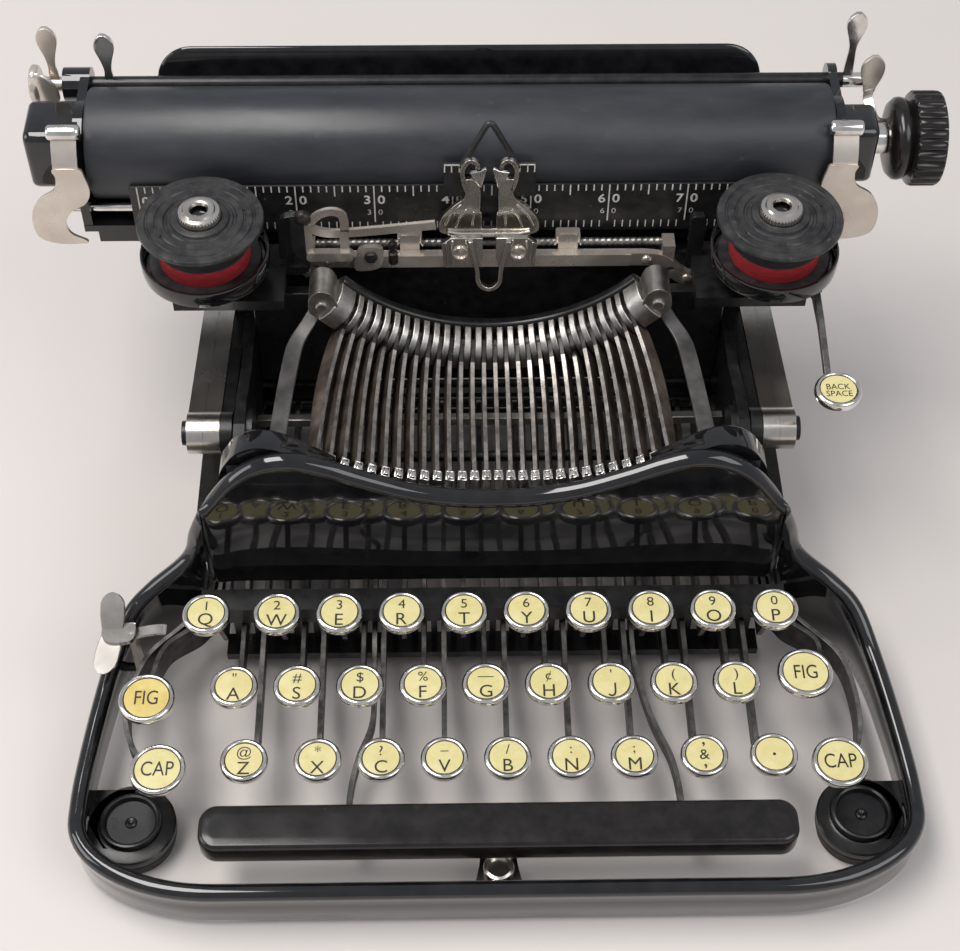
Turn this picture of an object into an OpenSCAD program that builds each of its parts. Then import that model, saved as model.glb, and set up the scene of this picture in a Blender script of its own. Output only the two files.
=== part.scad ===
// Folding portable typewriter with three rows of keys, in millimetres.
// x runs to the typist's right, y to the back and z up from the table.

/* [Keyboard] */
// Distance between neighbouring keys of one row
key_pitch = 19.05; // [18.6:0.05:19.4]
// Diameter of a letter key
key_d = 14.5; // [12:0.1:16]
// Diameter of a shift key
shift_key_d = 17; // [14:0.1:18]
// Thickness of a key top
key_h = 3.2; // [2.4:0.1:4]
// Distance of the top row's key centres from the front edge
row_y = 81.3; // [79:0.1:83]
// Distance between the rows, front to back
row_step = 19.9; // [19:0.1:20.5]
// Height of the top row's key faces
row_z = 49.2; // [47:0.1:52]
// Height lost from row to row
row_drop = 9.85; // [9:0.05:10.2]
// Thickness of a key lever
lever_t = 1.6; // [1.2:0.1:1.8]
// Height of a key lever's bar
lever_h = 7; // [5:0.1:8]
// Length of the space bar
space_l = 176; // [150:1:190]
// Width of the space bar, front to back
space_w = 14.5; // [12:0.1:16]
// Thickness of the space bar
space_h = 9; // [6:0.1:10]

/* [Base] */
// Width of the keyboard ring
base_w = 259; // [250:1:264]
// Width of the ring's rounded front corners
corner_w = 43; // [38:0.5:48]
// Depth of the ring's rounded front corners
corner_l = 25; // [22:0.5:30]
// Thickness of the ring's wall
wall_t = 3; // [2.5:0.1:4]
// Height of the ring's underside above the table
base_gap = 4; // [3:0.1:5]
// Height of the ring's front rim above the table
rim_z = 21; // [18:0.1:23]
// Height of the shield's top edge at its middle
shield_z = 69.3; // [66:0.1:71]
// Height gained by the shield's top edge at the shoulders
shoulder_rise = 15; // [11:0.1:16]
// Lean of the shield from upright
shield_lean = 12; // [8:0.5:14]
// Thickness of the shield
shield_t = 3; // [2:0.1:3.4]
// Thickness of the rear frame's walls
frame_t = 3.5; // [3:0.1:4]
// Diameter of a front rubber foot
foot_d = 27; // [22:0.5:28]
// Diameter of a rear rubber foot
rear_foot_d = 22; // [16:0.5:24]

/* [Levers and type] */
// Diameter of the lever shaft
shaft_d = 5; // [4:0.1:6]
// Distance of the lever shaft from the front edge
shaft_y = 185; // [180:0.5:190]
// Height of the lever shaft
shaft_z = 20; // [18:0.1:22]
// Radius of the circle on which the typebars turn
segment_r = 69; // [66:0.5:71]
// Angle that the fan of typebars covers
fan_angle = 84; // [70:1:88]
// Length of a typebar from its pivot to its slug
typebar_l = 55; // [52:0.5:56]
// Thickness of a typebar
typebar_t = 1.3; // [1:0.05:1.5]

/* [Fold] */
// Distance of the fold axis from the front edge
fold_y = 142; // [140:0.5:144]
// Height of the fold axis
fold_z = 62; // [60:0.5:64]
// Diameter of the fold pins
fold_pin_d = 8; // [6:0.1:9]
// Diameter of a fold arm's hub
hub_d = 13.5; // [12:0.1:15]
// Thickness of one nickel arm plate
arm_t = 5.2; // [4:0.1:6]

/* [Carriage] */
// Diameter of the platen
platen_d = 36; // [34:0.5:37]
// Length of the platen
platen_l = 240; // [230:1:250]
// Distance of the platen's axis from the front edge
platen_y = 224; // [223:0.5:226]
// Height of the platen's axis
platen_z = 112; // [111:0.5:114]
// Place of the platen's middle left or right of the machine's middle
carriage_x = -9; // [-20:0.5:10]
// Diameter of the platen knob
knob_d = 31; // [24:0.5:33]
// Length of the platen knob
knob_l = 15; // [10:0.5:18]
// Diameter of the platen's shaft
axle_d = 6; // [5:0.1:8]
// Length of the paper table along the platen
table_l = 202; // [180:1:220]
// Height of the paper table's plate along its slope
table_h = 39; // [34:0.5:42]
// Lean of the paper table from upright
table_lean = 16; // [10:0.5:20]
// Length of the paper scale
scale_l = 214; // [190:1:226]
// Half the length of the rails that carry the carriage
rail_half = 84; // [76:0.5:90]

/* [Ribbon] */
// Diameter of a spool's lower flange
spool_d = 36; // [32:0.5:37]
// Diameter of a spool's top flange
spool_top_d = 39.6; // [34:0.1:40]
// Diameter of the wound ribbon
ribbon_d = 29; // [20:0.5:31]
// Distance of a spool's centre from the machine's middle
spool_x = 90.4; // [88:0.2:93]
// Distance of the spools from the front edge
spool_y = 182.5; // [180:0.5:183]
// Height of a spool's top flange
spool_z = 117; // [115:0.5:119]

/* [Hidden] */
// Letters in the order of their levers from left to right: top, middle and front row in turn
KEY_NAMES = ["q", "a", "z", "w", "s", "x", "e", "d", "c", "r", "f", "v", "t", "g", "b", "y", "h", "n",
    "u", "j", "m", "i", "k", "comma", "o", "l", "period", "p"];
$fn = 48;

key_count = len(KEY_NAMES);
lever_step = key_pitch / 3;

// Clearances
fit = 0.05;
slip = 0.3;

function mix(a, b, t) = a + (b - a) * t;
function lever_x(i) = (i - (key_count - 1) / 2) * lever_step;
function key_row(i) = i % 3;
function key_y(row) = row_y - row * row_step;
function key_z(row) = row_z - row * row_drop;

// Sideways crank of the outermost keys on their levers
function key_shift(i) = i == 0 ? -2.5 : i == 2 ? -3 : i == 23 ? 2 : i == 26 ? 4 : 0;

// Catmull-Rom curve through hand-chosen points, with n steps between neighbours
function bend(a, b, c, d, t) = 0.5 * (2 * b + (c - a) * t + (2 * a - 5 * b + 4 * c - d) * t * t
    + (3 * b - a - 3 * c + d) * t * t * t);
function curve(p, n) = concat(
    [for (i = [0:len(p) - 2]) for (k = [0:n - 1])
        bend(p[max(i - 1, 0)], p[i], p[i + 1], p[min(i + 2, len(p) - 1)], k / n)],
    [p[len(p) - 1]]);

// Left-hand unit normal of a plan path at point i
function plan(p) = [p[0], p[1]];
function heading(p, i) = plan(p[min(i + 1, len(p) - 1)]) - plan(p[max(i - 1, 0)]);
function side_dir(p, i) = let (d = heading(p, i)) [-d[1], d[0]] / norm(d);
function band(p, t) = concat(
    [for (i = [0:len(p) - 1]) plan(p[i]) + side_dir(p, i) * t / 2],
    [for (i = [len(p) - 1:-1:0]) plan(p[i]) - side_dir(p, i) * t / 2]);

// Outline of a leaf shaped finger tab of width w and length l, standing on the origin
function leaf(w, l) = [for (a = [0:15:345]) [w / 2 * sin(a) * (1 - 0.25 * cos(a)), l / 2 * (1 - cos(a))]];

// Levers
comb_y = row_y + key_d / 2 + 3.5;
comb_w = 8;
comb_tooth = 3;
comb_base_z = 27.5;
comb_top_z = 34.5;
lever_z = 22;
lever_front_z = 20.5;
lever_reach = lever_x(key_count - 1) + lever_t / 2;
fig_x = lever_reach + 1.1 + lever_t / 2;
cap_x = fig_x + lever_t + 0.8;
bay_half = cap_x + lever_t / 2 + 0.9;
space_y = 19;
space_top = 30;
space_arm_x = [-6 * lever_step, 7 * lever_step];
dip_z = 10.5;

// Rear frame
side_out = bay_half + frame_t;
frame_front = 124;
frame_back = 204;
frame_low = base_gap + 2;
shelf_z = 34.5;
plate_x = 78;
plate_out = plate_x + frame_t + 0.2;
rest_z = 74;

// Fold arms: a black inner arm and two nickel plates beside it
black_arm_x = plate_out + 0.8;
black_arm_t = 3.7;
nickel_x = black_arm_x + black_arm_t + 0.2;
pin_end = nickel_x + 2 * arm_t + 2;
arm_end_y = 222;
arm_end_z = 50;
arm_w = 10.5;

// Segment and type
segment_y = 180;
segment_z = 130;
segment_half = 6;
slug_w = 3;
wire_d = 1.6;
slot_w = typebar_t + 0.3;
function fan(i) = fan_angle * (i - (key_count - 1) / 2) / (key_count - 1);
function splay(i) = abs(i - (key_count - 1) / 2) / ((key_count - 1) / 2);
function bar_pitch(i) = 3 + 13 * pow(splay(i), 1.5);
moving_bar = 13;

// How far a typebar bows away from the straight line at share t of its length
function bar_bow(t) = 3.6 * sin(180 * pow(max(t, 0), 0.7));

// Carriage stack, from the bed up to the platen
bed_front = 198;
bed_back = 246;
bed_z = rest_z;
bed_t = 6;
bed_top = bed_z + bed_t;
bed_half = black_arm_x + black_arm_t;
tie_t = 1.8;
rail_bottom = bed_top + slip + tie_t;
rail_h = 7.5;
rail_w = 4;
rail_y = [212, 234];
lift_pin_d = 6;
lift_pin_x = 74;
channel_z = rail_bottom + rail_h + slip;
channel_t = 2.6;
apron_half = 56;
apron_h = 20;
bracket_x = 66;
bracket_z = 86;
bracket_t = 4;

// Carriage
carriage_left = carriage_x - platen_l / 2;
carriage_right = carriage_x + platen_l / 2;
end_t = 3;
end_gap = 1;
left_reach = 21;
knob_gap = 22;
scale_y = 205;
scale_t = 0.8;
scale_z = 95;
scale_h = 15;
finger_t = 1.1;
finger_y = scale_y - slip - finger_t;
finger_z = 98;
finger_shaft_y = 208.8;
finger_shaft_d = 3;
table_y = 243;
table_z = channel_z;
table_t = 1.5;
release_d = 5;
pivot_y = platen_y + 19;
pivot_z = platen_z + 9;
boss_end = carriage_left - end_gap - end_t - 6;

// Ribbon
cup_r = spool_d / 2 + 2.5;
cup_z = 98;
cup_t = 1.4;
cup_h = 6;
spindle_d = 5;
rack_y = 200.6;
rack_z = 88.8;
rack_d = 3;
post_y = 202.3;
post_t = 1;

// Box of the whole machine, which sets the origin
bead_in = 1.6;
bead_out = 0.8;
rim_in = wall_t / 2 + bead_in;
machine_front = bead_in - bead_out;
machine_left = carriage_left - left_reach;
machine_right = carriage_right + knob_gap + knob_l;
machine_back = table_y + table_h * sin(table_lean) + table_t * cos(table_lean);
middle_x = (machine_left + machine_right) / 2;
middle_y = (machine_front + machine_back) / 2;

// Helpers
module place() {
    translate([-middle_x, -middle_y, 0]) children();
}

// Plate standing in a plane of constant x, drawn in y and z
module slab(x, t) {
    translate([x - t / 2, 0, 0]) rotate([90, 0, 90]) linear_extrude(t) children();
}

// Rod along x between two values
module rod(x0, x1, y, z, d) {
    translate([x0, y, z]) rotate([0, 90, 0]) cylinder(h = x1 - x0, d = d);
}

module block(x0, x1, y0, y1, z0, z1) {
    translate([x0, y0, z0]) cube([x1 - x0, y1 - y0, z1 - z0]);
}

module both_sides() {
    children();
    mirror([1, 0, 0]) children();
}

module rounded(w, h, r) {
    translate([-w / 2 + r, -h / 2]) square([w - 2 * r, h]);
    translate([-w / 2, -h / 2 + r]) square([w, h - 2 * r]);
    for (sx = [-1, 1]) for (sy = [-1, 1]) {
        translate([sx * (w / 2 - r), sy * (h / 2 - r)]) circle(r);
    }
}

module key_top(x, y, z, d) {
    translate([x, y, z - key_h]) difference() {
        union() {
            cylinder(h = key_h, d = d);
            translate([0, 0, -1]) cylinder(h = 1, d = d * 0.6);
        }
        translate([0, 0, key_h - 0.4]) cylinder(h = 1, d = d - 2.2);
    }
}

// Swept wall with a bead on its rim: stations hold x, y, underside and top
function wall_section(low, top, t) = [[-t / 2, low], [t / 2, low], [t / 2, top - 4], [t / 2 + 1.3, top - 3],
    [t / 2 + bead_in, top - 1.7], [t / 2 + 0.9, top - 0.4], [0, top], [-t / 2 - 0.3, top - 0.5],
    [-t / 2 - bead_out, top - 1.8], [-t / 2 - 0.5, top - 3], [-t / 2, top - 4]];
module wall(stations, t) {
    n = 11;
    last = len(stations) - 1;
    points = [for (i = [0:last]) let (s = stations[i], d = side_dir(stations, i))
        for (q = wall_section(s[2], s[3], t)) [s[0] + d[0] * q[0], s[1] + d[1] * q[0], q[1]]];
    faces = concat([[for (k = [0:n - 1]) k]], [[for (k = [n - 1:-1:0]) last * n + k]],
        [for (i = [0:last - 1]) for (k = [0:n - 1]) let (a = i * n + k, b = i * n + (k + 1) % n)
            each [[a, a + n, b], [b, a + n, b + n]]]);
    polyhedron(points, faces, convexity = 8);
}

// Root: ring, shield, feet, frame
base_half = base_w / 2 - rim_in;
corner_y = rim_in + corner_l;
shoulder_low = shelf_z + frame_t + 0.5;

// Middle of the ring's side wall, by its share of the way in to the rear frame
function wall_x(share) = mix(base_half, side_out, share);
rim_side = [
    [base_half, corner_y, base_gap, rim_z],
    [wall_x(0.01), corner_y + 12, base_gap, rim_z + 0.6],
    [wall_x(0.08), 60, base_gap, rim_z + 2],
    [wall_x(0.185), 79.5, base_gap, rim_z + 4.5],
    [wall_x(0.355), 93, base_gap, rim_z + 12],
    [wall_x(0.585), 99.8, base_gap, rim_z + 17],
    [side_out + 1, 104.8, base_gap, rim_z + 26],
    [side_out - 2.4, 106.9, shoulder_low - 2, rim_z + 36],
    [side_out - 5.4, 108.4, shoulder_low, rim_z + 43]
];
rim_right = concat(
    [for (a = [-90:10:-10]) [base_half - corner_w + corner_w * cos(a), corner_y + corner_l * sin(a),
        base_gap, rim_z]],
    [for (p = curve(rim_side, 5)) [p[0], p[1], max(p[2], base_gap), p[3]]]);
rim_left = [for (i = [len(rim_right) - 1:-1:0]) let (p = rim_right[i]) [-p[0], p[1], p[2], p[3]]];
foot_x = base_half - wall_t / 2 - 0.1 - foot_d / 2;
foot_y = corner_y + 2.9;
lug_z = base_gap + 2;
lug_t = 3;

module base_frame() {
    place() color([0.02, 0.02, 0.022]) {
        wall(concat(rim_left, rim_right), wall_t);
        both_sides() {
            corner_lug();
            block(side_out + 0.1, side_out + 0.1 + frame_t, 104, 142, frame_low, frame_low + 10);
        }
        lock_pin();
        front_bracket();
    }
}

// Flat lug with a raised ring, over each front foot
module corner_lug() {
    difference() {
        union() {
            translate([foot_x, foot_y, lug_z]) cylinder(h = lug_t, d = foot_d);
            intersection() {
                block(foot_x, base_half, foot_y - 8, foot_y + 12, lug_z, lug_z + lug_t);
                linear_extrude(rim_z) polygon(concat([[0, rim_in]], [for (p = rim_right) plan(p)],
                    [[0, frame_front]]));
            }
            translate([foot_x, foot_y, lug_z]) cylinder(h = lug_t + 3, d = foot_d * 0.7);
        }
        translate([foot_x, foot_y, lug_z + lug_t + 1]) cylinder(h = 3, d = foot_d * 0.55);
    }
}

// Triangular bracket on the front wall that holds the space bar's spring cup
space_travel = 6.4;
bracket_top = space_top - space_h - space_travel - 0.6;
module front_bracket() {
    translate([0, 0, lug_z]) linear_extrude(2.4) polygon([[-24, rim_in], [24, rim_in], [18, rim_in + 3],
        [8, rim_in + 6], [5, space_y - 4], [-5, space_y - 4], [-8, rim_in + 6], [-18, rim_in + 3]]);
    translate([0, space_y - 7, lug_z]) cylinder(h = bracket_top - lug_z, d = 7);
}

shield_bottom = 35;
shield_half = side_out - 7.5;
shield_y = 110;
shield_slope = (shield_z - shield_bottom) / cos(shield_lean);

// Top edge from the end to the middle: shares of the half width and of the shoulder's rise
shield_shares = [[1, -0.16], [0.91, 0.51], [0.81, 0.91], [0.695, 1], [0.575, 0.82], [0.455, 0.53],
    [0.287, 0.19], [0.125, 0.03], [0, 0]];
shield_top = [for (p = shield_shares) [-shield_half * p[0], shield_slope + shoulder_rise * p[1]]];

// Back of the shield at height z, with a hair of clearance
function shield_back(z) = shield_y + (z - shield_z) * tan(shield_lean) + shield_t / cos(shield_lean) + 0.1;

module front_shield() {
    half = curve(shield_top, 5);
    top = concat(half, [for (i = [len(half) - 2:-1:0]) [-half[i][0], half[i][1]]]);
    outline = concat(top, [[shield_half, 6], [shield_half - 6, 0], [6 - shield_half, 0], [-shield_half, 6]]);
    place() color([0.02, 0.02, 0.022]) translate([0, shield_y, shield_z]) rotate([90 - shield_lean, 0, 0])
        translate([0, -shield_slope, -shield_t]) {
            linear_extrude(shield_t) polygon(outline);
            linear_extrude(shield_t + 2) polygon(concat(
                [for (p = top) p], [for (i = [len(top) - 1:-1:0]) top[i] - [0, 3]]));
        }
}

rear_foot_x = side_out - rear_foot_d / 2;
rear_foot_y = frame_back - rear_foot_d / 2;
module rubber_feet() {
    place() color([0.05, 0.05, 0.05]) both_sides() {
        translate([foot_x, foot_y, 0]) cylinder(h = lug_z, d = foot_d);
        translate([rear_foot_x, rear_foot_y, 0]) cylinder(h = frame_low, d = rear_foot_d);
    }
}

module mechanism_frame() {
    place() color([0.025, 0.025, 0.028]) {
        difference() {
            union() {
                both_sides() frame_side();
                block(-side_out, side_out, frame_back - frame_t, frame_back, frame_low, shelf_z + frame_t);
                rod(-plate_x - 1, plate_x + 1, fold_y - 2, shelf_z + 17, 3.6);
                both_sides() block(58, 70, frame_back - frame_t, frame_back + 4, shelf_z, rest_z - slip);
            }
            block(-52, 52, frame_back - 2 * frame_t, frame_back + frame_t, frame_low + 8, shelf_z - 5);
            rod(-side_out - 1, side_out + 1, shaft_y, shaft_z, shaft_d + 2 * fit);
        }
        both_sides() rod(plate_x - 2, pin_end, fold_y, fold_z, fold_pin_d);
    }
}

// Peaked web behind each end of the shield, drawn in x and z
shoulder_z = shield_z + shoulder_rise;
shoulder_y = shield_back(shoulder_z);
shoulder_t = frame_front - 0.5 - shoulder_y;
shoulder_web = [[plate_x - 28, shoulder_z - 12], [plate_x - 17, shoulder_z - 4], [plate_x - 7.5, shoulder_z],
    [plate_x, shoulder_z - 2.5], [plate_x + 5, shoulder_z - 11], [plate_x + 7.5, shoulder_z - 22],
    [plate_x + 1, fold_z - 12], [plate_x - 11, fold_z - 12], [plate_x - 18, fold_z + 4]];

// Lower wall beside the levers, shelf over them, and the upright plate that carries the fold pin
module frame_side() {
    block(bay_half, side_out, frame_front - 12, frame_back, frame_low, shelf_z + frame_t);
    block(plate_x, side_out, frame_front, frame_back, shelf_z, shelf_z + frame_t);
    slab(plate_x + frame_t / 2, frame_t) polygon([[frame_front, shelf_z], [frame_front, fold_z + 6],
        [fold_y - 4, fold_z + 9], [fold_y + 6, fold_z + 9], [fold_y + 24, rest_z - 8],
        [frame_back, rest_z - 8], [frame_back, shelf_z]]);
    rod(plate_x - 2, plate_out, fold_y, fold_z, hub_d + 2);
    slab(plate_x - 5, 12) polygon([[shoulder_y, fold_z - 12], [shoulder_y, fold_z + 6],
        [fold_y - 13, fold_z + 7.9], [fold_y - 8, fold_z + 7.9], [fold_y - 4, fold_z + 2]]);
    slab(plate_x + 0.75, frame_t + 2) polygon([[shield_back(shelf_z + 14), shelf_z + 14],
        [shield_back(shoulder_z - 6), shoulder_z - 6], [frame_front + 1, fold_z + 6],
        [frame_front + 1, shelf_z + 14]]);
    translate([0, frame_front - 0.5, 0]) rotate([90, 0, 0]) linear_extrude(shoulder_t) polygon(shoulder_web);
    block(side_out - rear_foot_d, side_out, frame_back - rear_foot_d, frame_back, frame_low, frame_low + 3);
}

module lever_comb() {
    place() {
        color([0.03, 0.03, 0.03]) {
            block(-bay_half, bay_half, comb_y, comb_y + comb_w, comb_base_z, comb_top_z);
            for (i = [0:key_count - 2]) {
                x = (lever_x(i) + lever_x(i + 1)) / 2;
                if (min([for (a = space_arm_x) abs(a - x)]) > lever_step / 4) {
                    block(x - 1, x + 1, comb_y + comb_w - comb_tooth, comb_y + comb_w,
                        lever_z - 13, comb_base_z);
                }
            }
            block(-lever_reach, lever_reach, comb_y, comb_y + comb_w, lever_z - 15.5, lever_z - 12.5);
            both_sides() {
                block(bay_half - 1, bay_half, comb_y, frame_front + 2, comb_base_z, comb_base_z + 3.5);
            }
        }
        color([0.5, 0.5, 0.52]) rod(-side_out, side_out, shaft_y, shaft_z, shaft_d);
    }
}

// Moves from the fan's centre into the plane of typebar i
module in_slot(i) {
    translate([0, segment_y, segment_z]) rotate([0, -fan(i), 0]) children();
}

// Half ring with a slot for each typebar and the wire they turn on, its plate and two straps to the shoulders
module segment() {
    ring_in = segment_r - 5;
    ring_out = segment_r + 6;
    place() {
        color([0.6, 0.59, 0.57]) {
            difference() {
                translate([0, segment_y, segment_z]) rotate([90, 0, 0])
                    rotate([0, 0, -90 - fan_angle / 2 - 6]) rotate_extrude(angle = fan_angle + 12)
                        translate([ring_in, -segment_half - 1])
                            square([ring_out - ring_in, 2 * segment_half + 1]);
                for (i = [0:key_count - 1]) in_slot(i) block(-slot_w / 2, slot_w / 2, -segment_half - 1,
                    segment_half + 2, -ring_out - 1, -ring_in + 1);
            }
            for (i = [0:key_count - 1]) in_slot(i)
                rod(-slot_w / 2 - 0.3, slot_w / 2 + 0.3, 0, -segment_r, wire_d);
        }
        color([0.03, 0.03, 0.03]) difference() {
            block(-plate_x, plate_x, segment_y + segment_half, segment_y + segment_half + 4,
                shelf_z + frame_t, rest_z + 6);
            translate([0, segment_y + segment_half - 1, segment_z]) rotate([-90, 0, 0])
                cylinder(h = 6, r = segment_r - 3);
        }
        color([0.42, 0.43, 0.46]) both_sides()
            block(plate_x - 14.5, plate_x - 8.5, fold_y - 12, segment_y + segment_half,
                fold_z + 8, fold_z + 9.6);
    }
}

// One typebar in the plane x = 0 with its pivot at the origin, lying towards the front
module typebar(pitch) {
    rotate([pitch, 0, 0]) {
        slab(0, typebar_t) difference() {
            union() {
                circle(d = 7);
                polygon(concat([for (t = [0:0.1:1.01]) [-typebar_l * t, mix(2.8, 2, t) - bar_bow(t)]],
                    [for (t = [1:-0.1:-0.01]) [-typebar_l * t, -mix(2.8, 2, t) - bar_bow(t)]]));
            }
            circle(d = wire_d + 2 * fit);
        }
        block(-slug_w / 2, slug_w / 2, -typebar_l - 2, -typebar_l + 2, -3.4, 3.4);
    }
}

module typebar_at(i) {
    in_slot(i) translate([0, 0, -segment_r]) typebar(bar_pitch(i));
}

module typebars() {
    place() color([0.45, 0.41, 0.36]) for (i = [0:key_count - 1]) {
        if (i != moving_bar) {
            typebar_at(i);
        }
    }
}

module typebar_g() {
    place() color([0.45, 0.41, 0.36]) typebar_at(moving_bar);
}

// Keys: a flat lever with a bore on the shaft and a round top on its stem
module key(i) {
    row = key_row(i);
    x = lever_x(i);
    y = key_y(row);
    z = key_z(row);
    place() {
        color([0.2, 0.2, 0.2]) difference() {
            slab(x, lever_t) {
                translate([shaft_y, shaft_z]) circle(d = shaft_d + 5);
                polygon([[shaft_y, shaft_z + 4], [comb_y + comb_w, lever_z + lever_h / 2],
                    [y + 6, lever_front_z + lever_h / 2], [y + 2.4, z - key_h - 6], [y + 2, z - key_h - 0.9],
                    [y - 2, z - key_h - 0.9], [y - 2, lever_front_z + 2],
                    [y + 1, lever_front_z - lever_h / 2], [comb_y, lever_z - lever_h / 2],
                    [shaft_y, shaft_z - 4]]);
            }
            rod(x - lever_t, x + lever_t, shaft_y, shaft_z, shaft_d + 2 * fit);
        }
        color([0.86, 0.82, 0.5]) key_top(x + key_shift(i), y, z, key_d);
    }
}

// Upright strip that follows a curve in plan, with its side outline in y and z
module strip(path, heights) {
    intersection() {
        linear_extrude(60) polygon(band(curve(path, 6), lever_t));
        translate([-base_w / 2, 0, 0]) rotate([90, 0, 90]) linear_extrude(base_w) polygon(heights);
    }
}

// The space bar's levers bend outwards in front of the comb
space_heights = [[shaft_y, shaft_z + 4], [comb_y + comb_w, lever_z + 1], [row_y - 17, dip_z + 4.5],
    [space_y + 13, dip_z + 4], [space_y + 5, space_top - space_h + 1],
    [space_y - 3, space_top - space_h + 1], [space_y + 2, dip_z + 2], [space_y + 12, dip_z],
    [row_y - 19, dip_z], [comb_y, lever_z - 4], [shaft_y, shaft_z - 4]];
space_paths = [
    [[space_arm_x[0], shaft_y], [space_arm_x[0], 120], [space_arm_x[0], 84], [space_arm_x[0] - 0.4, 63],
        [-42.6, 50], [-45, 36], [-45.4, space_y - 4]],
    [[space_arm_x[1], shaft_y], [space_arm_x[1], 120], [space_arm_x[1], 86], [46.8, 72],
        [50.4, 60], [54.6, 48], [56.2, 34], [56.6, space_y - 4]]
];

module space_bar() {
    place() {
        color([0.03, 0.03, 0.035]) translate([0, space_y, space_top - space_h]) linear_extrude(space_h)
            rounded(space_l, space_w, space_w / 2 - 1.8);
        color([0.2, 0.2, 0.2]) for (path = space_paths) let (x = path[0][0]) difference() {
            union() {
                strip(path, space_heights);
                slab(x, lever_t) translate([shaft_y, shaft_z]) circle(d = shaft_d + 5);
            }
            rod(x - lever_t, x + lever_t, shaft_y, shaft_z, shaft_d + 2 * fit);
        }
    }
}

// Shift levers: upright strips that follow a curve in plan and rise to their key
module shift_arm(path, heights, bail) {
    x = abs(path[0][0]);
    side = sign(path[0][0]);
    difference() {
        union() {
            strip(path, heights);
            slab(side * x, lever_t) {
                translate([shaft_y, shaft_z]) circle(d = shaft_d + 5);
                polygon([[shaft_y - 1, shaft_z - 4.5], [bail[0] + 1, bail[1] - 2.5],
                    [bail[0] + 2.5, bail[1] + 2], [shaft_y + 1, shaft_z + 4.5]]);
            }
        }
        rod(side * x - lever_t, side * x + lever_t, shaft_y, shaft_z, shaft_d + 2 * fit);
    }
}

// Cross rods that join the left and right levers behind the shaft
cap_bail = [shaft_y + 11.5, shaft_z - 6];
fig_bail = [shaft_y + 8.6, shaft_z + 7];
bail_d = 3;
cap_y = 38.5;
cap_z = 30;
cap_key_x = [-101.5, 102.9];
fig_y = [58.3, 63.7];
fig_z = [38, 40];
fig_key_x = [-105.6, 94.2];
cap_heights = [[shaft_y, shaft_z - 4], [shaft_y, shaft_z + 4], [comb_y + comb_w, lever_z + 3],
    [comb_y - 20, 23.5], [cap_y + 12, 24], [cap_y + 4, cap_z - key_h - 0.4], [cap_y - 4, cap_z - key_h - 0.4],
    [cap_y - 4, cap_z - 7], [cap_y + 14, 15], [comb_y, 15]];
function fig_heights(s) = [[shaft_y, shaft_z - 4], [shaft_y, shaft_z + 4], [comb_y + comb_w, lever_z + 3],
    [fig_y[s] + 14, 30], [fig_y[s] + 4, fig_z[s] - key_h - 0.4], [fig_y[s] - 4, fig_z[s] - key_h - 0.4],
    [fig_y[s] - 4, fig_z[s] - 9], [fig_y[s] + 14, 21], [comb_y, 15]];

// Plan runs of the shift levers between the comb and the ring's side wall: shares of the room there
function cap_run(wall, share) = mix(cap_x, wall_x(wall) - rim_in - 1, share);
function fig_run(cap, share) = mix(fig_x, cap, share);
cap_left = [cap_run(0.2, 0.74), cap_run(0.095, 0.825), cap_run(0.04, 0.64)];
cap_right = [cap_run(0.19, 0.73), cap_run(0.088, 0.755), cap_run(0.04, 0.64)];
fig_left = [fig_run(cap_left[0], 0.69), fig_run(mix(cap_left[0], cap_left[1], 0.6), 0.72)];
fig_right = [fig_run(cap_right[0], 0.61), fig_run(mix(cap_right[0], cap_right[1], 0.45), 0.53)];

module shift_cap() {
    place() {
        color([0.3, 0.3, 0.3]) {
            shift_arm([[-cap_x, shaft_y], [-cap_x, 150], [-cap_x, 108], [-98, 95], [-cap_left[0], 82],
                [-cap_left[1], 64], [-cap_left[2], 48], [cap_key_x[0], cap_y]], cap_heights, cap_bail);
            shift_arm([[cap_x, shaft_y], [cap_x, 150], [cap_x, 108], [97, 95], [cap_right[0], 80],
                [cap_right[1], 62], [cap_right[2], 47], [cap_key_x[1], cap_y]], cap_heights, cap_bail);
            rod(-cap_x, cap_x, cap_bail[0], cap_bail[1], bail_d);
        }
        color([0.86, 0.82, 0.5]) for (x = cap_key_x) key_top(x, cap_y, cap_z, shift_key_d);
    }
}

module shift_fig() {
    place() {
        color([0.3, 0.3, 0.3]) {
            shift_arm([[-fig_x, shaft_y], [-fig_x, 150], [-fig_x, 106], [-93, 94], [-fig_left[0], 84],
                [-fig_left[1], 72], [fig_key_x[0], fig_y[0]]], fig_heights(0), fig_bail);
            shift_arm([[fig_x, shaft_y], [fig_x, 150], [fig_x, 106], [93, 93], [fig_right[0], 83],
                [fig_right[1], 72], [fig_key_x[1], fig_y[1]]], fig_heights(1), fig_bail);
            rod(-fig_x, fig_x, fig_bail[0], fig_bail[1], bail_d);
        }
        color([0.86, 0.82, 0.5]) for (s = [0, 1]) key_top(fig_key_x[s], fig_y[s], fig_z[s], shift_key_d);
    }
}

lock_x = -(wall_x(0.29) - rim_in - lever_t / 2 - 0.8);
lock_y = 84;
lock_z = 15;
lock_h = 19;
module shift_lock() {
    place() color([0.75, 0.74, 0.72]) {
        difference() {
            slab(lock_x, 1.6) {
                translate([lock_y, lock_z]) circle(d = 8);
                translate([lock_y - 3, lock_z]) square([6, lock_h + 1.6]);
            }
            rod(lock_x - 2, lock_x + 2, lock_y, lock_z, 3 + 2 * fit);
        }
        block(lock_x - 9.5, lock_x + 0.8, lock_y - 4.5, lock_y + 3, lock_z + lock_h, lock_z + lock_h + 1.6);
        translate([lock_x - 5, lock_y + 1, lock_z + lock_h + 0.4]) rotate([38, 0, 0])
            block(-4, 4, 0, 12, -0.4, 1.2);
    }
}

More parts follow.
